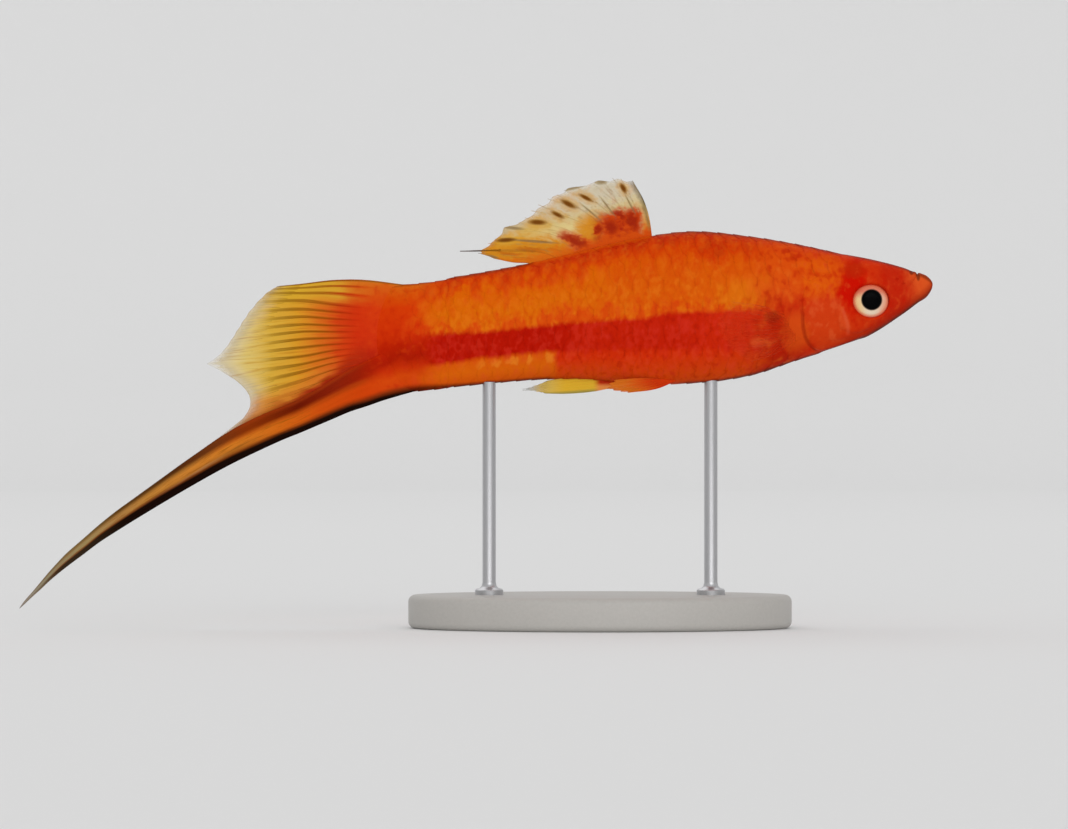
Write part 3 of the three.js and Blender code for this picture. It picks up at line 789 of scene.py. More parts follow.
# %% Colours of the head
def head_colour(paint, x, z, rough_x, rough_z, blotch, grain):
    """Gold on the gill cover, deep red round the eye, pink blotches on the cheek, a painted highlight along
    the cheek's edge, orange lips.
    """
    light = paint.smooth(blotch + grain * 0.7, -0.08, 0.24)
    gold = blot(paint, rough_x + blotch * 7, rough_z + grain * 3, (26.0, 42.0), (4.8, 3.6))
    behind = blot(paint, rough_x, rough_z, (24.0, 41.9), (1.0, 2.2))
    round_eye = blot(paint, rough_x, rough_z + blotch * 3, (30.2, 40.6), (2.4, 4.2))
    brow = blot(paint, rough_x, rough_z, (30.3, 42.9), (2.0, 1.3))
    cheek = blot(paint, rough_x, rough_z, (26.8, 36.6), (3.6, 4.2))
    # a painted highlight along the free edge of the cheek
    cheek_edge_highlight = streak(paint, x - paint.curve(z, *CHEEK_LINE), FREE_EDGE)
    cheek_edge_highlight = cheek_edge_highlight * paint.smooth(z, 34.8, 35.6) * paint.fall(z, 37.8, 38.6)
    return paint.layers(
        HEAD_RED,
        (GILL_GOLD, gold * (light * 0.35 + 0.52)),
        (SNOUT_RED, paint.smooth(rough_x, 32.4, 34.6)),
        ((198, 46, 4), behind * 0.55),
        (EYE_RED, round_eye),
        ((176, 40, 8), brow * 0.6),
        ((186, 22, 3), paint.smooth(-blotch - grain, 0.0, 0.3) * 0.5),
        ((204, 62, 18), cheek * 0.75),
        (GILL_PINK, cheek * paint.smooth(blotch + grain, -0.04, 0.3) * 0.65),
        (SNOUT_ORANGE, paint.smooth(rough_x + rough_z * 0.3, 48.4, 50.8) * 0.9),
        ((210, 72, 26), paint.smooth(grain + blotch * 0.5, 0.04, 0.26) * 0.4),
        ((218, 90, 56), cheek_edge_highlight * 0.4),
    )


# %% Colours of tail root and outline
def tail_root(paint, x, z):
    """The colours where body, fan and sword meet, from the keel up to the back."""
    fleck = paint.noise(0.8, detail=1.5) - 0.5
    slide = paint.maths("MAXIMUM", -x - 24.0, 0.0) * paint.fall(z, 33.0, 37.0) * 0.36
    rough = z + slide + (paint.noise(2.0) - 0.5) * 1.6 + fleck * 0.8
    return paint.layers(
        paint.ramp((rough - 28.0) / 14.0, *TAIL_ROOT),
        ((216, 72, 14), paint.smooth(fleck, 0.02, 0.26) * 0.25),
        ((180, 24, 3), paint.smooth(-fleck, 0.02, 0.26) * 0.3),
    )


def outline_masks(paint, x, y, z, back, belly, blotch):
    """Masks of painted shade under the chin, along the ridge of the back and along the keel, and of painted
    light on the dorsal fin's root.
    """
    under_fin = paint.smooth(x, -8.6, -7.6) * paint.fall(x, 5.8, 6.6)
    off_middle = paint.maths("ABSOLUTE", y) + blotch * 2
    # painted shade along the ridge of the back, where it turns away from the light, but not under the dorsal
    # fin
    ridge = paint.fall(back - z, 0.06, 0.55) * (1 - under_fin) * paint.fall(off_middle, 0.8, 3.2)
    # painted light on the back under the dorsal fin's root, in the corner between fin and back
    root = paint.fall(back - z, 0.0, 0.6) * under_fin
    rear = paint.smooth(-x, 15.0, 23.0)
    chin = paint.smooth(x, 26.0, 31.0)
    # painted shade along the keel, where the belly turns away from the light, wider under the chin and
    # towards the tail
    keel_shade = paint.fall((z - belly) / (1 + rear + chin * 0.4), 0.06, 0.5)
    keel_shade = keel_shade * (1 - paint.smooth(off_middle, 0.6, 2.8) * (1 - rear))
    keel_shade = keel_shade * (1 - paint.smooth(x, 37.6, 39.2) * 0.35)
    keel_shade = keel_shade * (1 - paint.smooth(x, -6.5, -5.0) * paint.fall(x, 9.0, 11.0) * 0.7)
    # the first mask is painted shade under the chin
    return paint.fall(z - belly, 0.3, 1.7) * chin, ridge, root, keel_shade, rear


# %% Colours of the body
def body_colour(paint):
    """The colour of the fish's skin and scales at every place, and two noises."""
    x, y, z = paint.place()
    cloud = paint.noise(2.4) - 0.5
    flame = paint.noise(2.2, stretch=(0.6, 1, 1.15)) - 0.5
    blotch = paint.noise(1.3, detail=0.6) - 0.5
    grain = paint.noise(0.8, detail=1.5, stretch=(0.82, 1, 1.08)) - 0.5
    speck = paint.noise(0.6, stretch=(0.8, 1, 1.6)) - 0.5
    rough_x = x + cloud * 2.4 + speck * 1.2
    rough_z = z + cloud * 0.7 + speck * 0.8
    back = paint.curve(x, OUTLINE_X, OUTLINE["back"])
    belly = paint.curve(x, OUTLINE_X, OUTLINE["belly"])

    shoulder = paint.layers(
        paint.ramp((rough_z + flame * 6 - belly) / (back - belly), *SHOULDER),
        ((176, 24, 4), paint.smooth(-blotch - grain, 0.0, 0.3) * 0.6),
        ((222, 104, 28), paint.smooth(grain * 0.6 + blotch * 0.7 + flame * 0.5, 0.02, 0.3) * 0.42),
    )
    fin_base = blot(paint, rough_x, rough_z, (20.5, 37.2), (1.1, 0.9))
    below_base = blot(paint, rough_x, rough_z, (19.3, 34.3), (1.7, 0.9))
    behind_gill = blot(paint, rough_x, rough_z, (23.3, 35.6), (2.1, 3.0))
    gill = streak(paint, x - paint.curve(z, *GILL_LINE), FREE_EDGE)
    gill = gill * paint.smooth(z, 32.8, 33.6) * paint.fall(z, 36.8, 40.0)
    chin, ridge, root, keel_shade, rear = outline_masks(paint, x, y, z, back, belly, blotch)
    body = paint.layers(
        trunk_colour(paint, x + cloud * 0.6, z + cloud * 0.5 + speck * 0.5, flame, grain, back, belly),
        (shoulder, paint.smooth(rough_x + flame * 6, 16.0, 21.6)),
        (head_colour(paint, x, z, rough_x, rough_z, blotch, grain), paint.smooth(rough_x, 22.4, 26.0)),
        (LINE_RED, fin_base * 0.6),
        (GILL_PINK, below_base * 0.4),
        ((212, 78, 20), behind_gill * 0.75),
        (LINE_RED, gill * 0.5),
        (tail_root(paint, x, z), paint.smooth(-rough_x, 18.6, 23.0)),
        (LINE_BROWN, blot(paint, x, z, (37.3, 42.7), (0.35, 0.5)) * 0.7),
        (LINE_BROWN, blot(paint, x, z, (38.1, 42.1), (0.3, 0.6)) * 0.7),
        # painted shade under the chin, along the ridge and along the keel, darkest at the keel towards the
        # tail, and painted light on the dorsal fin's root
        ((156, 34, 12), chin * 0.7),
        ((104, 36, 10), ridge * 0.7),
        ((236, 104, 16), root * 0.6),
        (paint.mix(LINE_BROWN, (18, 5, 3), rear), keel_shade * 0.85),
    )
    return body, cloud, speck

# %% Skin paint
SKIN_ROUGHNESS = 0.4

skin_paint = Paint("fish_skin")
skin_colour, cloud, speck = body_colour(skin_paint)
pores = skin_paint.noise(0.16, detail=4)
skin_paint.finish(
    Base_Color=skin_colour,
    Roughness=SKIN_ROUGHNESS + speck * 0.2,
    Specular_IOR_Level=0.01,
    Normal=skin_paint.bump(pores, 0.03),
)
FLESH_NODES = ("head", "lower_jaw", "gill_cover_left", "gill_cover_right", "torso", "tail_stalk")
settle(skin, skin_paint, "fish_skin", *FLESH_NODES)

# %% [markdown]
# ## Scales
# A swordtail has about 27 scales in a row from gill cover to tail, and each row is shifted by half a scale
# against the next. They overlap like roof tiles with their round edges to the rear. Bump could draw them,
# but only real plates catch the light at their edges, so one thin plate is modelled, copied to every
# place of the pattern and bent to the body there.

# %% One scale
SCALE_ACROSS = 6
SCALE_ALONG = 4
SCALE_THICK = 0.018
SCALE_ROOT = 0.12  # how much narrower a scale is at its root
SCALE_ROUND = 0.92  # how round its free edge is
SCALE_SIDES = 0.45  # how far its sides reach, as a share of its length

bpy.ops.object.select_all(action="DESELECT")
bpy.ops.mesh.primitive_grid_add(x_subdivisions=SCALE_ACROSS, y_subdivisions=SCALE_ALONG, size=2 * MM)
scale_model = bpy.context.active_object
scale_model.name = "scale_model"
plan = points_of(scale_model)
side, back_share = plan[:, 0], (plan[:, 1] + 1) / 2
rounded = np.sqrt(np.clip(1 - SCALE_ROUND * side**2, 0, 1))
width = 1 - SCALE_ROOT * (1 - back_share) ** 2
length = back_share * (SCALE_SIDES + (1 - SCALE_SIDES) * rounded)
move_points(scale_model, np.stack([side * width, length, 0 * side], axis=-1))
apply_modifier(scale_model, "SOLIDIFY", thickness=SCALE_THICK * MM, offset=0)
print("one scale has", len(scale_model.data.polygons), "faces")

# %% Where the scales sit
ROWS = 8  # rows on each side, between the middle of the back and the middle of the belly
PITCH = 1.86
SCALE_LENGTH = 3.3
FIRST_AT = 9.5
LAST_AT = 66.8
BEHIND_GILL = 0.35  # the first scales start this far behind the gill cover's edge
FLANK_LIMIT = 29  # no scale of the flank lies in front of this place
NAPE_LOW = {"x": 26, "z": 42.4, "slope": 0.02}  # over this line the scales of the nape run on over the head
STATION = 0.4  # a table of turns round the body is worked out at every such distance

angles = np.linspace(-math.pi / 2, 1.5 * math.pi, 721)
stations = np.arange(0.2, STALK_END + STATION, STATION)
around = body_point(stations[:, None], angles[None, :], 0.0 * angles[None, :])
steps = np.linalg.norm(np.diff(around[:, :, 1:], axis=1), axis=-1)
reach = np.concatenate([np.zeros((len(stations), 1)), np.cumsum(steps, axis=1)], axis=1)
reach /= reach[:, -1:]
SHARES = np.linspace(0, 1, 257)
turn_table = np.array([np.interp(SHARES, row, angles) for row in reach])


def turn_at(at, share):
    """The turn round the body at a share of the way round it, from the belly and back to it."""
    row = np.clip((at - stations[0]) / STATION, 0, len(stations) - 1.001)
    column = (share % 1.0) * (len(SHARES) - 1)
    i, j = row.astype(int), np.minimum(column.astype(int), len(SHARES) - 2)
    a, b = row - i, column - j
    low = turn_table[i, j] * (1 - b) + turn_table[i, j + 1] * b
    high = turn_table[i + 1, j] * (1 - b) + turn_table[i + 1, j + 1] * b
    return low * (1 - a) + high * a


def scale_sites():
    """The root of every scale: its distance behind the snout and its share of the way round."""
    gill = smooth_line(GILL_EDGE)
    sites = []
    for row in range(2 * ROWS):
        share = row / (2 * ROWS)
        for column in range(int((LAST_AT - FIRST_AT) / PITCH) + 1):
            at = FIRST_AT + (column + 0.5 * (row % 2)) * PITCH
            middle = np.array([at + 0.7 * SCALE_LENGTH])
            x, _, z = body_point(middle, turn_at(middle, np.array([share])), np.zeros(1))[0]
            behind = beside(np.array([x]), np.array([z]), gill)[0][0] < -BEHIND_GILL
            on_nape = z > NAPE_LOW["z"] - NAPE_LOW["slope"] * (x - NAPE_LOW["x"])
            if (behind and x < FLANK_LIMIT) or on_nape:
                sites.append((at, share))
    return sites


SITES = scale_sites()
print("scales:", len(SITES))

# %% How a scale is bent
SCALE_COVER = 0.97  # the share of its row's width that a scale covers
ROOT_OVER = 0.02  # a scale's root lies this far over the skin
EDGE_UNDER = 0.01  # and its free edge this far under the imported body's surface


def scale_bend(at_root, share):
    """Takes the model of a scale to one place on the body."""

    def bend(points):
        side, along, up = points.T
        at = np.minimum(at_root + along * SCALE_LENGTH, STALK_END - 0.1)
        round_share = share + side * SCALE_COVER / (2 * ROWS)
        lift = -COAT_DEPTH + ROOT_OVER + along * (COAT_DEPTH - ROOT_OVER - EDGE_UNDER) + up
        placed = body_point(at, turn_at(at, round_share), lift)
        placed[:, 1] *= step(STALK_END + 0.2 - at, 0, THIN_OVER)
        return placed

    return bend


# %% Coat of scales
PATCH = 0.003  # the size of each scale's own patch of the bake map
MAP_EDGE = 0.02
MAP_LENGTH = 70  # this distance behind the snout is the map's far edge
PLATE_SHINE = {"x": (-25.0, -21.0, 18.0, 22.0), "along": (0.45, 0.72, 0.74, 0.98)}


def add_map(piece, name, values):
    layer = piece.data.uv_layers.new(name=name, do_init=False)
    corners = np.empty(len(piece.data.loops), np.int32)
    piece.data.loops.foreach_get("vertex_index", corners)
    layer.uv.foreach_set("vector", values[corners].astype(np.float32).ravel())


model_points = points_of(scale_model)
coat = bent_copies("scales", scale_model, [scale_bend(*site) for site in SITES])
roots = np.array([(at / MAP_LENGTH, share) for at, share in SITES]) * (1 - 2 * MAP_EDGE) + MAP_EDGE
offsets = np.stack([model_points[:, 1] - 0.5, model_points[:, 0] / 2], axis=-1) * PATCH
add_map(coat, "OFBake", (roots[:, None, :] + offsets[None]).reshape(-1, 2))
own_plan = np.stack([model_points[:, 0] / 2 + 0.5, model_points[:, 1]], axis=-1)
add_map(coat, "Plan", np.tile(own_plan, (len(SITES), 1)))
bpy.data.objects.remove(scale_model)

scale_paint = Paint("fish_scales")
scale_colour, cloud, speck = body_colour(scale_paint)
x, y, z = scale_paint.place()
across, along = scale_paint.plan("Plan")
off_middle = scale_paint.maths("ABSOLUTE", across - 0.5) * 2
# a painted shine on the rear half of each scale, orange above the band and pink below it
starts, full, level, ends = PLATE_SHINE["along"]
shine = scale_paint.smooth(along, starts, full) * scale_paint.fall(along, level, ends)
shine = shine * scale_paint.fall(off_middle, 0.1, 0.75) * scale_paint.smooth(cloud + speck, -0.16, 0.16)
starts, full, level, ends = PLATE_SHINE["x"]
shine = shine * scale_paint.smooth(x, starts, full) * scale_paint.fall(x, level, ends)
band_top = scale_paint.curve(x, BAND["x"], BAND["top"])
glow = scale_paint.mix((228, 122, 26), (214, 52, 40), scale_paint.smooth(band_top - z, -0.3, 0.5))
ridges = scale_paint.node(
    "TexWave",
    settings={"bands_direction": "Y"},
    Vector=scale_paint.node("UVMap", settings={"uv_map": "Plan"}),
    Scale=9.0,
    Distortion=0.6,
)
scale_paint.finish(
    Base_Color=scale_paint.mix(scale_colour, glow, shine * 0.2),
    Roughness=0.42 + speck * 0.15,
    Specular_IOR_Level=0.01,
    Normal=scale_paint.bump(ridges, 0.004),
)
settle(coat, scale_paint, "fish_skin")

# %% [markdown]
# ## Eyes
# A fish's eye has no lids. A flat silvery ring, the iris, lies round a round black opening through which
# the ball of the lens bulges a little. Each eye starts as a ball whose outer side is flattened, and the
# lens is a second, smaller ball in its middle.

# %% Eyes
EYE_MIDDLE = 2.2
EYE_DEPTH = 1.5
EYE_TILT = math.radians(7)
PUPIL = {"x": 32.4, "z": 39.32, "radius": 1.2, "deep": 0.45, "sunk": 0.22}
BALL_FLAT = 3.2
PUPIL_FLAT = 2.4


def eye_ball(name, side, half_sizes, middle, flatness, place):
    """A ball on one side of the head, flattened where it looks out, and turned forwards a little."""
    wide, deep, tall = half_sizes
    bpy.ops.object.select_all(action="DESELECT")
    bpy.ops.mesh.primitive_uv_sphere_add(segments=64, ring_count=40, radius=MM)
    piece = bpy.context.active_object
    piece.name = name
    bpy.ops.object.mode_set(mode="EDIT")
    bpy.ops.mesh.select_all(action="SELECT")
    bpy.ops.transform.rotate(value=math.pi / 2, orient_axis="X", center_override=(0, 0, 0))
    bpy.ops.object.mode_set(mode="OBJECT")
    points = points_of(piece)
    away = np.clip(np.hypot(points[:, 0], points[:, 2]), 0, 1)
    swell = np.sign(points[:, 1]) * deep * (1 - away**flatness) ** (1 / flatness)
    x, out = points[:, 0] * wide, side * swell + middle - EYE_MIDDLE
    lean = math.sin(EYE_TILT) * EYE_DEPTH  # keeps the outer face where the photograph has it
    move_points(piece, np.stack([
        place[0] - lean + x * math.cos(EYE_TILT) + out * math.sin(EYE_TILT),
        side * (EYE_MIDDLE + out * math.cos(EYE_TILT) - x * math.sin(EYE_TILT)),
        place[1] + points[:, 2] * tall,
    ], axis=-1))
    weld(piece)
    return piece


# %% [markdown]
# ## Fins
# A fin is a thin see-through membrane spread between stiff rays, which fork towards the edge. The membrane
# is a sheet that is bent to the fin and given a little thickness. One ray is modelled as a slim rod and
# copied along the fin, each copy bent to its own line. Each fin's outline runs from its root to a curve
# through its tips.

# %% Iris and lens
iris_paint = Paint("iris")
x, y, z = iris_paint.place()
away_x, away_z = x - PUPIL["x"], z - PUPIL["z"]
away = iris_paint.distance(away_x, away_z)
rim = iris_paint.distance((x - EYE["x"]) / EYE["wide"], (z - EYE["z"]) / EYE["tall"])
streaks = iris_paint.noise(0.35, detail=4)
iris = iris_paint.layers(
    (228, 210, 184),
    ((232, 198, 142), iris_paint.smooth(-away_x, 0.3, 1.6)),
    ((226, 160, 132), iris_paint.smooth(away_x - away_z * 0.2, 0.6, 1.8)),
    ((216, 122, 96), iris_paint.smooth(away_z, 0.0, 1.1)),
    ((180, 110, 80), streaks * 0.2),
    ((222, 120, 84), iris_paint.smooth(rim, 0.72, 0.86) * 0.7),
    ((198, 40, 12), iris_paint.smooth(rim, 0.84, 0.96)),
)
pupil_edge = iris_paint.smooth(away, PUPIL["radius"] - 0.02, PUPIL["radius"] + 0.16)
iris_paint.finish(
    Base_Color=iris_paint.mix((40, 24, 18), iris, pupil_edge),
    Roughness=0.35,
    Specular_IOR_Level=0.1,
    Normal=iris_paint.bump(streaks, 0.03),
)
lens_paint = Paint("lens_black")
lens_paint.finish(
    Base_Color=lens_paint.mix((1, 1, 2), (3, 3, 3), lens_paint.noise(0.6)),
    Roughness=0.3,
    Specular_IOR_Level=0.03,
)
for word, side in SIDES.items():
    sizes = (EYE["wide"], EYE_DEPTH, EYE["tall"])
    ball = eye_ball("eye_globe_" + word, side, sizes, EYE_MIDDLE, BALL_FLAT, (EYE["x"], EYE["z"]))
    settle(ball, iris_paint, "eye", "eye_" + word)
    sizes = (PUPIL["radius"], PUPIL["deep"], PUPIL["radius"])
    middle = EYE_MIDDLE + EYE_DEPTH - PUPIL["sunk"]
    pupil = eye_ball("eye_lens_" + word, side, sizes, middle, PUPIL_FLAT, (PUPIL["x"], PUPIL["z"]))
    settle(pupil, lens_paint, "eye")

# %% The surface of a fin
GUIDE_POINTS = 40  # every guide line is made of so many points
TIP_POINTS = 120


def guided_surface(guides, sway):
    """place(u, s): the middle of a fin, u across its guide lines and s from root to edge."""
    lines = np.stack([smooth_line(guide, GUIDE_POINTS) for guide in guides])
    last = GUIDE_POINTS - 1

    def place(u, s):
        across, along = u * (len(lines) - 1), np.clip(s, 0, 1) * last
        i, j = np.minimum(across.astype(int), len(lines) - 2), np.minimum(along.astype(int), last - 1)
        a, b = (across - i)[:, None], (along - j)[:, None]
        near = lines[i, j] * (1 - b) + lines[i, j + 1] * b
        far = lines[i + 1, j] * (1 - b) + lines[i + 1, j + 1] * b
        x, z = (near * (1 - a) + far * a).T
        return np.stack([x, sway * s * s * np.sin(math.pi * (0.25 + 1.2 * u)), z], axis=-1)

    return place


def flat_guides(fin):
    """Straight guide lines from a root to a curve of tips, bowed a little."""
    tips = smooth_line(fin["tips"], TIP_POINTS)
    root = np.array(fin["root"], float)
    guides = []
    for u in np.linspace(0, 1, fin["rays"]):
        tip = tips[int(u * (TIP_POINTS - 1))]
        start = root[0] + (root[1] - root[0]) * u
        bow = fin["bows"][0] + (fin["bows"][1] - fin["bows"][0]) * u
        middle = (start + tip) / 2 + np.array([tip[1] - start[1], start[0] - tip[0]]) * bow
        guides.append((start, middle, tip))
    return guides


# %% One ray
RAY_SIDES = 6
RAY_CUTS = 15

bpy.ops.object.select_all(action="DESELECT")
bpy.ops.mesh.primitive_cylinder_add(vertices=RAY_SIDES, radius=MM, depth=MM, location=(0, 0, 0.5 * MM))
bpy.ops.object.transform_apply(location=True)
ray_model = bpy.context.active_object
ray_model.name = "ray_model"
bpy.ops.object.mode_set(mode="EDIT")
for cut in range(1, RAY_CUTS):
    bpy.ops.mesh.select_all(action="SELECT")
    bpy.ops.mesh.bisect(plane_co=(0, 0, cut / RAY_CUTS * MM), plane_no=(0, 0, 1))
bpy.ops.object.mode_set(mode="OBJECT")
print("one ray has", len(ray_model.data.polygons), "faces")


def ray_bend(path, thick, thin, slim_root=False):
    """Takes the model of a ray onto a path of points, with its radius from thick to thin."""
    path = np.array(path)
    spots = np.linspace(0, 1, len(path))
    direction = np.gradient(path, axis=0)
    direction /= np.linalg.norm(direction, axis=1)[:, None]
    upright = np.stack([-direction[:, 2], 0 * direction[:, 0], direction[:, 0]], axis=-1)
    upright /= np.linalg.norm(upright, axis=1)[:, None]
    sideways = np.cross(direction, upright)

    def bend(points):
        share = np.clip(points[:, 2], 0, 1)
        radius = thick + (thin - thick) * share
        if slim_root:
            radius = radius * (0.3 + 0.7 * step(share, 0.2, 0.8))

        def along(table):
            return np.stack([np.interp(share, spots, column) for column in table.T], axis=-1)

        return (
            along(path)
            + along(upright) * (points[:, 0] * radius)[:, None]
            + along(sideways) * (points[:, 1] * radius)[:, None]
        )

    return bend

# %% All rays of a fin
RAY_REACH = 0.985  # a ray ends this share of the way to the fin's edge, if its fin says nothing else
FORK_SPREAD = 0.24  # how far a fork opens, as a share of the way to the next ray
FORK_NARROWER = 1.9  # each next fork opens so many times less
FORK_THINNER = 0.72  # and its rays keep this share of the thickness
RAY_TAPER = (0.35, 0.7)  # how much thinner a part of a ray is that starts, or ends, at the fin's edge


def ray_bends(fin, place):
    """The bends of all rays of a fin, one on each guide line, with their forks."""
    bends = []
    count = fin["rays"] - 1
    for ray in range(fin["rays"]):
        middle = ray / count
        reach = fin["reach"][ray] if "reach" in fin else RAY_REACH
        levels = [(0.0, min([*fin["forks"][:1], reach]), [(middle, middle)])]
        ends = [min(end, reach) for end in fin["forks"][1:]] + [reach]
        lines = [middle]
        for level, end in enumerate(ends if fin["forks"] else []):
            spread = 0 if ray in fin.get("closed", ()) else FORK_SPREAD / count / (FORK_NARROWER**level)
            pairs = [(line, min(max(line + side * spread, 0), 1)) for line in lines for side in (-1, 1)]
            levels.append((levels[-1][1], end, pairs))
            lines = [after for _, after in pairs]
        for number, (start, end, pairs) in enumerate(levels):
            size = fin["ray"] * (FORK_THINNER**number) * fin.get("stout", {}).get(ray, 1)
            thick, thin = size * (1 - RAY_TAPER[0] * start), size * (1 - RAY_TAPER[1] * end)
            for before, after in pairs if end > start else []:
                t = np.linspace(0, 1, 14)
                path = place(before + (after - before) * np.sqrt(t), start + (end - start) * t)
                bends.append(ray_bend(path, thick, thin, number == 0))
    return bends


# %% Membrane
FILM_WAVE = 0.05  # a membrane lies this much further to one side between its rays than on them


def membrane(name, fin, place):
    """A fin's membrane. It hangs between the rays, and its edge falls short there."""
    count = fin["rays"] - 1
    reach = fin.get("film_reach", [1.0] * fin["rays"])

    def shape(u, s):
        between = 0.5 - 0.5 * np.cos(2 * math.pi * u * count)
        edge = np.interp(u, np.linspace(0, 1, count + 1), reach) - fin["notch"] * between
        points = place(u, s * edge)
        points[:, 1] += FILM_WAVE * (between - 0.5) * step(s, 0.1, 0.5)
        return points.T

    piece = bent_sheet(name, *fin["grid"], shape)
    apply_modifier(piece, "SOLIDIFY", thickness=fin["film"] * MM, offset=0)
    weld(piece)
    return piece


def film_paint(name, film_colour, opacity):
    """A material of a membrane. Both functions take the paint, its place and its plan."""
    paint = Paint(name)
    x, y, z = paint.place()
    u, s = paint.plan("Plan")
    paint.finish(
        Base_Color=film_colour(paint, x, z, u, s),
        Roughness=0.45,
        Specular_IOR_Level=0.03,
        Alpha=opacity(paint, x, z, u, s),
        Normal=paint.bump(paint.noise(0.3, detail=3), 0.02),
    )
    return paint


def ray_paint(name, tint, opacity=None):
    """A material of a fin's rays. Both functions take the paint and its place."""
    paint = Paint(name)
    x, y, z = paint.place()
    paint.finish(
        Base_Color=tint(paint, x, z),
        Roughness=0.4,
        Specular_IOR_Level=0.03,
        Alpha=opacity(paint, x, z) if opacity else 1.0,
        Normal=paint.bump(paint.noise(0.25, detail=2), 0.02),
    )
    return paint


def make_fin(name, fin, place, film, line, node, side=""):
    """Both pieces of a fin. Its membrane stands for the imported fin, and its rays lie on it."""
    piece = membrane(f"{name}_membrane{side}", fin, place)
    settle(piece, film, "fin_membrane", node + side)
    rays = bent_copies(f"{name}_rays{side}", ray_model, ray_bends(fin, place))
    settle(rays, line, "fin_membrane")


# %% [markdown]
# ## Dorsal fin
# It is pale yellow and see-through, with an orange patch at the front of its root, a row of dark dashes
# between its rays, and a yellow rear end that runs out to a fine dark point.

# %% Lines of the dorsal fin
DORSAL = {
    "rays": 12, "forks": (0.6,), "ray": 0.12, "film": 0.07, "notch": 0.03, "grid": (132, 44),
    "closed": (0, 9), "stout": {0: 1.3, 9: 2.2},
    "reach": (1, 0.93, 0.93, 0.97, 0.94, 0.93, 0.95, 0.96, 0.95, 1, 0.96, 0.9),
    "film_reach": (0.99, 0.9, 0.96, 0.98, 0.93, 0.88, 0.95, 0.97, 0.98, 0.8, 0.98, 1),
    "guides": (
        ((6.3, 46.3), (5.93, 48.8), (5.2, 51.3), (3.9, 53.7)),
        ((5.3, 46.3), (4.9, 49.0), (3.6, 51.8), (1.6, 54.7)),
        ((4.0, 46.2), (3.5, 48.8), (2.1, 51.0), (-0.4, 54.0)),
        ((2.8, 46.0), (1.8, 48.8), (-0.2, 50.9), (-4.0, 52.9)),
        ((1.4, 45.8), (0.2, 48.2), (-2.4, 50.3), (-6.3, 52.1)),
        ((0.2, 45.5), (-1.0, 47.8), (-3.6, 49.2), (-8.7, 50.7)),
        ((-1.0, 45.2), (-2.4, 46.9), (-4.8, 48.1), (-9.8, 48.9)),
        ((-2.2, 44.9), (-3.6, 46.3), (-6.4, 47.4), (-11.8, 48.1)),
        ((-3.4, 44.6), (-4.8, 45.7), (-7.4, 46.5), (-13.0, 46.4)),
        ((-4.8, 44.1), (-6.2, 44.9), (-8.8, 45.3), (-16.8, 45.2)),
        ((-6.2, 43.6), (-7.8, 44.3), (-10.6, 44.5), (-14.4, 44.9)),
        ((-7.2, 43.2), (-8.6, 43.8), (-10.4, 43.9), (-12.6, 44.3)),
    ),
    "sway": 0.9,
}
# each dash: its place, its half sizes and its slope in degrees
BROWN_DASHES = (
    (2.8, 52.8, 0.8, 0.36, -60), (-1.7, 51.65, 1.1, 0.3, -28), (-3.8, 50.9, 1.2, 0.38, -28),
    (-7.5, 48.7, 1.25, 0.38, -2), (-11.3, 46.55, 1.4, 0.32, 4), (-5.1, 49.6, 1.0, 0.3, -27),
)
FAINT_DASHES = (
    (-10.4, 48.0, 1.5, 0.24, -6), (-12.9, 44.55, 0.9, 0.2, -14), (4.6, 52.9, 1.3, 0.36, -58),
    (-8.0, 46.4, 3.4, 0.18, -4), (-2.9, 52.95, 1.9, 0.26, 16), (0.2, 53.6, 0.9, 0.4, 10),
    (3.6, 50.9, 1.6, 0.14, -62), (0.9, 50.6, 1.8, 0.14, -52), (-1.2, 50.0, 1.8, 0.14, -40),
)
ORANGE_DASHES = ((-8.0, 45.4, 2.4, 0.34, -3), (-10.8, 44.9, 1.8, 0.24, -4), (-5.0, 45.3, 1.6, 0.24, -10))
RED_DASHES = (
    (-3.15, 46.55, 1.75, 0.58, -25), (1.3, 48.1, 0.9, 0.8, -30), (-0.2, 47.9, 0.5, 0.5, 0),
    (3.9, 48.9, 1.3, 0.7, -76), (2.4, 49.6, 0.9, 0.4, -30),
)


def dashes(paint, x, z, places, longer=1, wider=1):
    """A mask of short dashes."""
    mask = None
    for place_x, place_z, length, width, slope in places:
        length, width, turn = length * longer, width * wider, math.radians(slope)
        away_x, away_z = x - place_x, z - place_z
        along = away_x * (math.cos(turn) / length) + away_z * (math.sin(turn) / length)
        across = away_z * (math.cos(turn) / width) - away_x * (math.sin(turn) / width)
        dash = paint.fall(along * along + across * across, 0.0, 1.3)
        mask = dash if mask is None else paint.maths("MAXIMUM", mask, dash)
    return mask


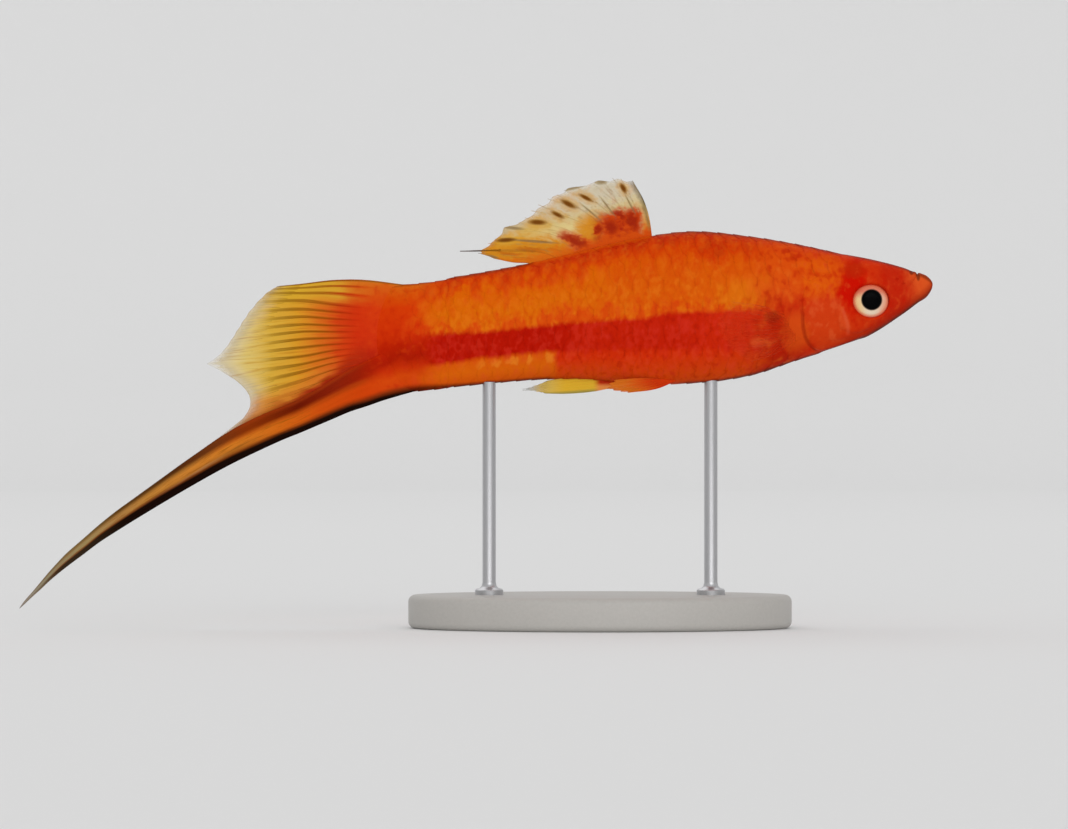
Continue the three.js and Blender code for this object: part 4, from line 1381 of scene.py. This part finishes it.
# %% Colours of the dorsal fin
def dorsal_colour(paint, x, z, u, s):
    """The film from its light middle to its stains, with the dark dashes on top."""
    cloud = paint.noise(1.1, detail=3) - 0.5
    fine = paint.noise(0.5, stretch=(1.4, 1, 0.8)) - 0.5
    threads = paint.threads(u * 40, s * 3)
    rough = cloud * 2 + fine * 1.4 + threads
    rear_edge = paint.smooth(s + cloud * 0.15, 0.72, 0.95) * paint.fall(x, -9.5, -5.5)
    halo = dashes(paint, x + cloud * 2, z + fine, BROWN_DASHES, 1.5, 2.8)
    patch = paint.smooth(x + rough, -1.6, 0.8) * paint.fall(x + rough * 0.4, 4.5, 5.5)
    patch = patch * paint.fall(z - x * 0.16 + rough, 48.8, 50.6)
    reds = paint.mix((198, 66, 8), (170, 38, 4), paint.smooth(fine + cloud, -0.24, 0.1))
    height = z - paint.curve(x, OUTLINE_X, OUTLINE["back"])
    root = paint.mix((210, 108, 16), (206, 78, 8), paint.smooth(x + cloud * 4, -6.0, -1.0))
    stain_x, stain_z = x + fine * 1.1 + cloud * 0.8, z + cloud * 0.9 + fine * 0.6
    front_edge = paint.fall(u + fine * 0.03, 0.01, 0.05) * paint.smooth(z, 47.0, 49.0)
    return paint.layers(
        (216, 194, 132),
        ((208, 194, 162), paint.smooth(z - x * 0.28 + rough, 49.6, 52.0)),
        ((216, 166, 108), paint.smooth(cloud, -0.02, 0.22) * 0.5),
        ((210, 166, 74), paint.fall(x + rough, -9.5, -4.0) * 0.8),
        ((204, 184, 148), rear_edge * 0.7),
        ((206, 134, 28), paint.fall(z + rough, 46.0, 47.6) * paint.fall(x, -4.5, -2.0)),
        ((208, 138, 34), blot(paint, x + fine * 2, z + rough, (-1.0, 47.6), (2.6, 2.8))),
        ((206, 132, 50), paint.fall(z, 48.0, 51.0) * paint.smooth(x, 4.6, 5.4)),
        ((212, 158, 50), halo * 0.75),
        ((184, 98, 16), dashes(paint, x, z + fine * 0.6, ORANGE_DASHES) * 0.85),
        ((164, 124, 62), paint.smooth(threads + fine * 0.4, 0.04, 0.24) * 0.5),
        (reds, patch),
        (root, paint.fall(height + rough, 0.3, 1.7)),
        ((200, 66, 6), dashes(paint, stain_x, stain_z, RED_DASHES, 1.3, 1.7) * 0.9),
        ((148, 26, 2), dashes(paint, stain_x, stain_z, RED_DASHES, 1.1, 1.15) * 0.85),
        ((126, 104, 70), dashes(paint, x, z, FAINT_DASHES) * 0.75),
        ((112, 92, 52), front_edge * 0.7),
        ((112, 62, 8), dashes(paint, x, z, BROWN_DASHES)),
    )


def dorsal_opacity(paint, x, z, u, s):
    """Clearer towards its upper edge, apart from its rear end, and nearly solid where a dash lies."""
    clear = paint.smooth(z - x * 0.2, 48.8, 51.0) * paint.smooth(x, -12.0, -6.0)
    film = 0.98 - clear * 0.36 - paint.smooth(s, 0.9, 1.0) * 0.3
    marks = paint.smooth(dashes(paint, x, z, BROWN_DASHES + FAINT_DASHES), 0.0, 0.6)
    return paint.maths("MAXIMUM", film, marks)


def dorsal_ray_tint(paint, x, z):
    """A ray takes on the colour of the film, a little darker. The first one and the spike are dark."""
    return paint.layers(
        dorsal_colour(paint, x, z, 0.5, 0.5),
        ((120, 84, 40), 0.22),
        ((96, 80, 44), paint.smooth(x * 2.2 + z, 62.0, 63.0) * paint.smooth(z, 47.0, 48.5)),
        ((108, 90, 82), paint.fall(x, -14.6, -13.2)),
    )


def dorsal_ray_opacity(paint, x, z):
    return 1 - paint.smooth(z - x * 0.3, 49.0, 51.5) * 0.4


# %% Dorsal fin
dorsal_place = guided_surface(DORSAL["guides"], DORSAL["sway"])
dorsal_film = film_paint("dorsal_film", dorsal_colour, dorsal_opacity)
dorsal_line = ray_paint("dorsal_ray", dorsal_ray_tint, dorsal_ray_opacity)
make_fin("dorsal", DORSAL, dorsal_place, dorsal_film, dorsal_line, "dorsal_fin")

# %% [markdown]
# ## Tail fan
# The upper part of the tail is a fan of fine dark lines on yellow. It is red where it grows out of the
# body and clear at its edge. The table gives every ray's height where it starts, at three places on its
# way, and its tip.

# %% Lines of the tail fan
FAN_TABLE = (
    (41.1, 41.7, 41.7, 41.25, -38.7, 41.0), (40.4, 40.9, 41.05, 40.8, -39.3, 40.65),
    (39.4, 39.8, 40.2, 40.2, -40.0, 40.2), (38.2, 38.4, 38.8, 39.3, -41.1, 39.1),
    (37.4, 37.6, 37.95, 38.25, -42.1, 37.9), (36.7, 36.9, 37.1, 37.35, -42.9, 36.7),
    (36.1, 36.2, 36.3, 36.4, -43.6, 35.6), (35.5, 35.55, 35.55, 35.55, -44.3, 34.5),
    (34.9, 34.85, 34.8, 34.65, -45.1, 33.4), (34.3, 34.2, 34.05, 33.65, -46.0, 32.5),
    (33.8, 33.6, 33.3, 32.55, -47.2, 31.7), (33.3, 33.0, 32.5, 31.6, -44.6, 30.3),
    (32.8, 32.4, 31.8, 30.7, -43.0, 29.1), (32.3, 31.8, 31.0, 29.6, -42.1, 27.9),
    (31.9, 31.2, 30.2, 28.5, -42.0, 26.6), (31.5, 30.7, 29.5, 27.6, -42.8, 25.2),
    (31.0, 30.2, 28.8, 26.7, -46.0, 22.7),
)
FAN = {
    "rays": len(FAN_TABLE), "forks": (0.55, 0.8), "ray": 0.13, "film": 0.08, "notch": 0.004,
    "grid": (165, 60),
    "guides": [
        ((tail_edge(z) + 1, z), (-28, z28), (-32, z32), (-36, z36), (tip_x, tip_z))
        for z, z28, z32, z36, tip_x, tip_z in FAN_TABLE
    ],
    "sway": -0.7,
}
SWORD_LINE = ((22, 26, 30, 34, 38, 42, 46), (33.6, 33.0, 31.1, 28.65, 26.65, 25.0, 22.75))  # its upper edge

# %% Colours of the tail fan
# the fan from root to edge, its light film and its dark rays
FAN_FILM = (
    (0.0, 204, 42, 4), (0.2, 200, 40, 4), (0.3, 204, 62, 12), (0.42, 210, 106, 24),
    (0.54, 212, 148, 36), (0.68, 212, 168, 60), (0.82, 216, 190, 110), (1.0, 218, 208, 178),
)
FAN_RAYS = (
    (0.0, 204, 42, 4), (0.2, 196, 38, 4), (0.31, 172, 50, 4), (0.4, 146, 76, 2),
    (0.58, 128, 86, 4), (0.68, 156, 118, 28), (0.8, 208, 180, 96), (1.0, 218, 206, 172),
)


def fan_tint(paint, away, stops):
    return paint.ramp((away - 24.5) / 22.0, *stops)


def near_ray(paint, u, rays, width):
    """1 on a fin's rays and 0 between them."""
    return paint.fall(paint.maths("PINGPONG", u * (rays - 1), 0.5), width * 0.4, width)


def fan_colour(paint, x, z, u, s):
    """The film and the dark lines of the rays, stained red over the sword."""
    away = -x
    cloud = paint.noise(1.4, detail=3, stretch=(2, 1, 1)) - 0.5
    threads = paint.threads(u * 70, s * 4)
    top = paint.smooth(z + cloud + threads, 38.2, 40.4)
    rays = near_ray(paint, u, FAN["rays"], 0.25) * paint.fall(away + cloud * 3, 38.5, 42.0)
    over = z - paint.curve(away, *SWORD_LINE) + cloud * 2 + threads
    low = paint.fall(over, 0.6, 3.2) * paint.fall(away, 41.0, 45.0) * paint.smooth(away, 30.0, 34.0)
    stain = paint.fall(over * (0.55 + paint.smooth(away, 29.0, 36.0) * 1.5), 0.0, 1.9)
    film = paint.layers(
        fan_tint(paint, -(x + cloud * 1.6 + threads * 3), FAN_FILM),
        ((208, 193, 160), paint.smooth(s + cloud * 0.12 + threads * 0.2, 0.83, 0.98) * 0.6),
        ((210, 168, 46), top * paint.smooth(away + cloud * 4, 27.0, 32.0) * 0.8),
        ((208, 120, 30), top * paint.fall(away + cloud * 4, 27.0, 32.0)),
        ((170, 110, 24), paint.smooth(threads, 0.04, 0.2) * paint.smooth(away, 32, 36) * 0.4),
        (fan_tint(paint, -(x + cloud * 2), FAN_RAYS), rays * 0.7),
        ((208, 116, 38), low * 0.7),
        ((160, 40, 7), stain * (1 - paint.smooth(away, 34.0, 42.0) * 0.8)),
    )
    film = paint.mix(tail_root(paint, x, z), film, paint.smooth(away + cloud * 2, 26.6, 31.0))
    return paint.mix(film, (124, 82, 20), paint.fall(u, 0.004, 0.02) * 0.7)


def fan_opacity(paint, x, z, u, s):
    """Clear along the rear edge, and clearest at the pointed tip."""
    threads = paint.threads(u * 70, s * 3)
    faint = paint.smooth(s + threads * 0.1, 0.9, 1.0) * 0.5 + paint.smooth(-x, 43.5, 46.5) * 0.35
    return 0.99 - faint


def fan_ray_tint(paint, x, z):
    tint = paint.mix(tail_root(paint, x, z), fan_tint(paint, -x, FAN_RAYS), paint.smooth(-x, 26.6, 31.0))
    return paint.mix(tint, (146, 84, 20), paint.smooth(z, 40.9, 41.1) * 0.8)


def fan_ray_opacity(paint, x, z):
    return 1 - paint.smooth(-x, 37.0, 42.0) * 0.75


# %% Tail fan
fan_place = guided_surface(FAN["guides"], FAN["sway"])
fan_film = film_paint("fan_film", fan_colour, fan_opacity)
fan_line = ray_paint("fan_ray", fan_ray_tint, fan_ray_opacity)
make_fin("fan", FAN, fan_place, fan_film, fan_line, "tail_fan")

# %% [markdown]
# ## Sword
# The lowest rays of the male's tail lie close together and grow far out into a blade. A dark red stripe
# runs along its upper edge, a black one along its lower edge, and the middle is orange with fine lines.
# It is a sheet wrapped round into a closed blade with a low ridge for every ray.

# %% Form of the sword
# each row: a place, and the height of the upper and the lower edge there
SWORD_TABLE = (
    (-19.6, 33.4, 29.6), (-22, 33.6, 28.5), (-24, 33.5, 27.9), (-26, 33.0, 27.3), (-28, 32.1, 26.6),
    (-30, 31.1, 25.95), (-32, 29.9, 25.1), (-34, 28.65, 24.25), (-36, 27.5, 23.4), (-38, 26.65, 22.6),
    (-40, 25.85, 21.7), (-42, 24.95, 20.76), (-44, 23.9, 19.78), (-46, 22.65, 18.72), (-48, 21.25, 17.6),
    (-50, 19.85, 16.45), (-52, 18.4, 15.27), (-54, 16.95, 14.07), (-56, 15.5, 12.85), (-58, 14.05, 11.6),
    (-60, 12.45, 10.3), (-62, 10.7, 8.8), (-64, 8.95, 7.3), (-65, 7.9, 6.5), (-66, 6.8, 5.65),
    (-67, 5.6, 4.7), (-68, 4.4, 3.8), (-69, 3.25, 2.85), (-69.6, 2.4, 2.3),
)
SWORD = {
    "start": 19.6, "length": 50.0, "sway": -1.2, "ridges": 6, "ridge": 0.035,
    "half": 0.36,  # half of its thickness where it is at least as tall as "full"
    "full": 2.4, "closed_root": 0.02, "closed_tip": 0.004,
}
sword_places, sword_top, sword_low = np.array(SWORD_TABLE).T
sword_edges = [curve_through(-sword_places, edge) for edge in (sword_top, sword_low)]


def sword_shape(along, round_share):
    """Half of the sheet is the near side of the blade, and the other half its far side."""
    away = SWORD["start"] + SWORD["length"] * along
    down = 1 - np.abs(2 * round_share - 1)
    side = np.where(round_share < 0.5, -1, 1)
    top, low = sword_edges[0](away), sword_edges[1](away)
    closing = np.clip(along / SWORD["closed_root"], 0, 1) * np.clip((1 - along) / SWORD["closed_tip"], 0, 1)
    closing = np.sqrt(closing)
    z = (top + low) / 2 + (0.5 - down) * (top - low) * closing
    rounded = np.sqrt(np.clip(1 - (2 * down - 1) ** 6, 0, 1))
    ridge = SWORD["ridge"] * np.cos(2 * math.pi * SWORD["ridges"] * down) * step(along, 0.1, 0.2)
    half = (SWORD["half"] - ridge) * rounded * np.clip((top - low) / SWORD["full"], 0.2, 1)
    return np.stack([-away, SWORD["sway"] * along**2 + side * half * closing, z])


# %% Colours of the sword
BLADE = (
    (0.0, 208, 66, 6), (0.1, 200, 58, 6), (0.24, 200, 76, 12), (0.34, 204, 100, 20), (0.46, 210, 122, 34),
    (0.58, 196, 124, 46), (0.67, 182, 124, 52), (0.75, 168, 124, 70), (0.83, 156, 134, 88),
    (0.92, 140, 132, 104), (1.0, 152, 148, 142),
)
STRIPE = (
    (0.0, 170, 24, 3), (0.1, 158, 26, 3), (0.2, 130, 28, 7), (0.3, 98, 16, 1), (0.42, 128, 44, 4),
    (0.5, 104, 48, 16), (0.6, 74, 36, 12), (0.75, 90, 58, 20), (0.85, 118, 96, 58), (1.0, 112, 106, 92),
)
# how wide the upper stripe and the black rim are, as shares of the blade, at places away from the body
STRIPE_WIDTH = (
    (20, 26, 30, 34, 38, 42, 46, 52, 60, 70), (0.6, 0.48, 0.47, 0.42, 0.4, 0.4, 0.36, 0.26, 0.24, 0.2),
)
RIM_WIDTH = (
    (20, 24, 28, 32, 36, 40, 48, 56, 64, 70), (0.05, 0.09, 0.13, 0.17, 0.2, 0.21, 0.28, 0.39, 0.36, 0.36),
)


def sword_colour(paint, x, z, down, along):
    """Stripes from the upper edge, where down is 0, to the lower edge, where it is 1."""
    away = -x
    share = (away - 22.0) / 48.0
    threads = paint.threads(down * 12, along * 14)
    fine = paint.threads(down * 34, along * 30)
    lines = paint.smooth(threads + fine, 0.02, 0.24) * paint.smooth(away, 31, 38)
    lower = paint.smooth(down + threads * 0.2, 0.42, 0.66)
    lower = lower * paint.smooth(away, 38, 46) * paint.fall(away, 60, 66)
    pale = streak(paint, down - 0.64 + threads * 0.1, 0.07)
    pale = pale * paint.smooth(away, 44, 48) * paint.fall(away, 56, 60)
    width = paint.curve(away, *STRIPE_WIDTH)
    halo = paint.mix((158, 58, 10), (124, 82, 34), paint.smooth(away, 43.0, 50.0))
    edge = paint.fall(down + threads * 0.08, 0.0, 0.16) * paint.fall(away, 40.0, 46.0)
    # painted light along the blade's upper edge near the body, where its rounded edge turns away from the
    # light
    painted_light_seam = paint.fall(down, 0.0, 0.07) * paint.fall(away, 29.0, 36.0)
    low = down + paint.curve(away, *RIM_WIDTH)
    fade = 1 - paint.smooth(away, 64.0, 68.0) * 0.8
    blade = paint.layers(
        paint.ramp(share, *BLADE),
        ((142, 82, 10), lines * 0.6),
        ((138, 84, 30), lower * 0.7),
        ((196, 140, 88), pale * 0.5),
        (halo, paint.fall(down + threads * 0.1 - width, -0.06, 0.1) * 0.6),
        (paint.ramp(share, *STRIPE), paint.fall(down + threads * 0.08 - width, -0.16, 0.0) * 0.96),
        ((164, 60, 18), edge * paint.smooth(away, 26.0, 32.0) * 0.6),
    )
    return paint.layers(
        tail_root(paint, x, z),
        (blade, paint.smooth(away, 25.4, 29.4)),
        ((206, 46, 10), painted_light_seam * 0.4),
        ((100, 40, 10), paint.smooth(low + threads * 0.06, 0.86, 1.0) * fade * 0.85),
        (
            paint.mix((22, 8, 4), (52, 38, 24), paint.smooth(away, 56.0, 64.0)),
            paint.smooth(low + threads * 0.04, 0.96, 1.06) * fade,
        ),
    )


# %% Sword
sword = bent_sheet("sword_blade", 260, 128, sword_shape)
weld(sword, 0.001)
sword_paint = Paint("sword_paint")
u, s = sword_paint.plan("Plan")
x, y, z = sword_paint.place()
sword_paint.finish(
    Base_Color=sword_colour(sword_paint, x, z, 1 - sword_paint.maths("ABSOLUTE", s * 2 - 1), u),
    Roughness=0.4,
    Specular_IOR_Level=0.01,
    Normal=sword_paint.bump(sword_paint.noise(0.2, detail=3, stretch=(6, 1, 1)), 0.012),
)
settle(sword, sword_paint, "sword", "sword")

# %% [markdown]
# ## Gonopodium, pelvic and pectoral fins
# A male's anal fin is a narrow rod of long rays, the gonopodium, folded back along the belly. The paired
# fins are drawn flat about their roots, then splayed and rolled into place on both sides.

# %% Gonopodium
GONOPODIUM = {
    "rays": 6, "forks": (), "ray": 0.13, "film": 0.2, "notch": 0.0, "grid": (40, 40),
    "reach": (0.84, 0.92, 1, 1, 0.9, 0.84),
    "film_reach": (0.84, 0.9, 0.97, 0.95, 0.88, 0.84),
    "guides": (
        ((4.6, 30.9), (-0.2, 30.5), (-4.4, 30.0), (-8.4, 29.2)),
        ((4.4, 30.6), (-0.2, 30.1), (-4.4, 29.6), (-9.0, 28.85)),
        ((4.2, 30.3), (-0.2, 29.7), (-4.4, 29.25), (-9.3, 28.65)),
        ((4.0, 30.0), (-0.2, 29.3), (-4.4, 28.9), (-9.3, 28.5)),
        ((3.8, 29.7), (-0.2, 28.9), (-4.4, 28.5), (-8.9, 28.35)),
        ((3.4, 29.4), (-0.2, 28.5), (-4.4, 28.15), (-8.4, 28.25)),
    ),
    "sway": 0.0,
}


def gonopodium_tint(paint, x, z):
    red = paint.mix((226, 140, 70), (184, 40, 5), paint.smooth(z, 28.9, 29.5))
    return paint.layers(
        (216, 172, 46),
        ((208, 176, 84), paint.fall(x, -6.5, -4.0)),
        ((158, 142, 64), paint.fall(z - x * 0.08, 28.5, 28.9)),
        (red, paint.smooth(x, -0.9, 0.1)),
        ((186, 186, 182), paint.fall(x, -8.8, -7.0)),
    )


gonopodium_place = guided_surface(GONOPODIUM["guides"], GONOPODIUM["sway"])
gonopodium_film = film_paint(
    "gonopodium_film",
    lambda paint, x, z, u, s: gonopodium_tint(paint, x, z),
    lambda paint, x, z, u, s: 0.97 - paint.smooth(-x, 5.5, 8.5) * 0.6,
)
gonopodium_line = ray_paint("gonopodium_ray", gonopodium_tint)
make_fin("gonopodium", GONOPODIUM, gonopodium_place, gonopodium_film, gonopodium_line, "gonopodium")

# %% Lines of the paired fins
PELVIC = {
    "rays": 6, "forks": (0.5,), "ray": 0.12, "film": 0.07, "notch": 0.06, "grid": (48, 24),
    "root": ((0.9, 0.5), (-0.9, 0.5)),
    "tips": ((-5.6, -1.2), (-8.4, -0.6), (-7.2, 0.3)),
    "bows": (-0.06, 0.02), "sway": 0.2,
    "place": (8.7, 1.45, 29.4), "splay": 14, "roll": 22,
}
PECTORAL = {
    "rays": 12, "forks": (0.5, 0.8), "ray": 0.1, "film": 0.06, "notch": 0.05, "grid": (96, 30),
    "root": ((0.9, 1.25), (0.9, -1.25)),
    "tips": ((-8.2, 3.4), (-10.6, 0.6), (-9, -2.6), (-6.4, -3.9)),
    "bows": (0.05, -0.05), "sway": 0.5,
    "place": (22.5, 4.5, 35.7), "splay": 36, "roll": 6,
}


def placed_fin(fin, side):
    """The surface of a paired fin on one side: rolled about X, then splayed about Z."""
    flat = guided_surface(flat_guides(fin), fin["sway"])
    roll, splay = math.radians(side * fin["roll"]), math.radians(-side * fin["splay"])
    cos, sin = math.cos(roll), math.sin(roll)
    about_x = np.array([[1, 0, 0], [0, cos, -sin], [0, sin, cos]])
    cos, sin = math.cos(splay), math.sin(splay)
    about_z = np.array([[cos, -sin, 0], [sin, cos, 0], [0, 0, 1]])
    x, y, z = fin["place"]
    turn = about_z @ about_x
    return lambda u, s: flat(u, s) @ turn.T + np.array([x, side * y, z])


# %% Paired fins
# colour and opacity of the membrane, then colour and opacity of the rays
PAIRED = {
    "pelvic": (
        PELVIC,
        lambda paint, x, z, u, s: paint.mix((208, 58, 10), (222, 120, 30), paint.smooth(s, 0.3, 0.9)),
        lambda paint, x, z, u, s: 0.85 - paint.smooth(s, 0.4, 1.0) * 0.3,
        lambda paint, x, z: paint.mix((206, 90, 24), (190, 40, 8), paint.smooth(x, 3.0, 8.0)),
        None,
    ),
    "pectoral": (
        PECTORAL,
        lambda paint, x, z, u, s: paint.mix((200, 54, 18), (212, 92, 50), paint.smooth(s, 0.1, 0.8)),
        lambda paint, x, z, u, s: 0.08 - paint.smooth(s, 0.05, 0.5) * 0.05,
        lambda paint, x, z: paint.mix((206, 76, 34), (186, 40, 14), paint.smooth(x, 17.0, 22.0)),
        lambda paint, x, z: 0.07 + paint.smooth(x, 17.0, 22.0) * 0.15,
    ),
}
for name, (fin, film_colour, film_opacity, line_colour, line_opacity) in PAIRED.items():
    film = film_paint(name + "_film", film_colour, film_opacity)
    line = ray_paint(name + "_ray", line_colour, line_opacity)
    for word, side in SIDES.items():
        make_fin(name, fin, placed_fin(fin, side), film, line, name + "_fin", "_" + word)
bpy.data.objects.remove(ray_model)

# %% [markdown]
# ## Stand
# A flat oval base and two thin steel rods carry the fish, as in a museum case. The base starts as a
# cylinder and gets rounded edges. Each rod starts as a circle that is extruded upwards, first into a small
# foot and then into the rod, which ends just inside the skin of the belly.

# %% Stand base
base_low, base_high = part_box("stand_base")
BASE_BEVEL = 0.8

bpy.ops.object.select_all(action="DESELECT")
bpy.ops.mesh.primitive_cylinder_add(vertices=128, radius=1, depth=1)
base = bpy.context.active_object
base.name = "base_plate"
size = base_high - base_low
bpy.ops.transform.resize(value=(size.x / 2, size.y / 2, size.z))
bpy.ops.transform.translate(value=(base_low + base_high) / 2)
bpy.ops.object.transform_apply(location=True, rotation=True, scale=True)
apply_modifier(base, "BEVEL", width=BASE_BEVEL * MM, segments=5, limit_method="ANGLE")
bpy.ops.object.shade_smooth_by_angle(angle=math.radians(35))

base_paint = Paint("stand_paint")
speckle = base_paint.noise(0.35, detail=5)
base_paint.finish(
    Base_Color=base_paint.mix((166, 163, 158), (178, 175, 170), speckle),
    Roughness=0.42 + speckle * 0.2,
    Coat_Weight=0.15,
    Coat_Roughness=0.3,
    Normal=base_paint.bump(speckle, 0.015),
)
settle(base, base_paint, "stand_base", "stand_base")

# %% Rods
ROD = {"radius": 0.8, "foot_radius": 1.7, "into_skin": 0.25, "into_base": 0.3}
ROD_RINGS = ((1.7, 0.55), (1.55, 0.7), (1.15, 0.8), (0.9, 1.05), (0.8, 1.5))  # radius and height, from below

rod_paint = Paint("rod_steel")
brushed = rod_paint.noise(0.12, detail=2, stretch=(1, 1, 0.15))
rod_paint.finish(
    Base_Color=rod_paint.mix((176, 176, 178), (204, 204, 206), brushed),
    Metallic=1.0,
    Roughness=0.24 + brushed * 0.16,
    Normal=rod_paint.bump(brushed, 0.004),
)
for word in ("front", "rear"):
    low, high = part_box("stand_rod_" + word)
    middle = (low.x + high.x) / 2 / MM
    at = np.array([SNOUT["x"] - middle])
    top = body_point(at, np.array([-math.pi / 2]), np.zeros(1))[0][2] + ROD["into_skin"]
    bottom = low.z / MM - ROD["into_base"]
    bpy.ops.object.select_all(action="DESELECT")
    bpy.ops.mesh.primitive_circle_add(
        vertices=48,
        radius=ROD["foot_radius"] * MM,
        fill_type="NGON",
        location=(middle * MM, 0, bottom * MM),
    )
    rod = bpy.context.active_object
    rod.name = "rod_" + word
    bpy.ops.object.transform_apply(location=True)
    bpy.ops.object.mode_set(mode="EDIT")
    radius, height = ROD["foot_radius"], bottom
    rings = [(ring, bottom + over) for ring, over in ROD_RINGS] + [(ROD["radius"], top)]
    for next_radius, next_height in rings:
        rise = (0, 0, (next_height - height) * MM)
        bpy.ops.mesh.extrude_region_move(TRANSFORM_OT_translate={"value": rise})
        share = next_radius / radius
        bpy.ops.transform.resize(value=(share, share, 1), center_override=(middle * MM, 0, next_height * MM))
        radius, height = next_radius, next_height
    bpy.ops.mesh.select_all(action="SELECT")
    bpy.ops.mesh.normals_make_consistent(inside=False)
    bpy.ops.object.mode_set(mode="OBJECT")
    bpy.ops.object.shade_smooth_by_angle(angle=math.radians(40))
    settle(rod, rod_paint, "stand_rod", "stand_rod_" + word)
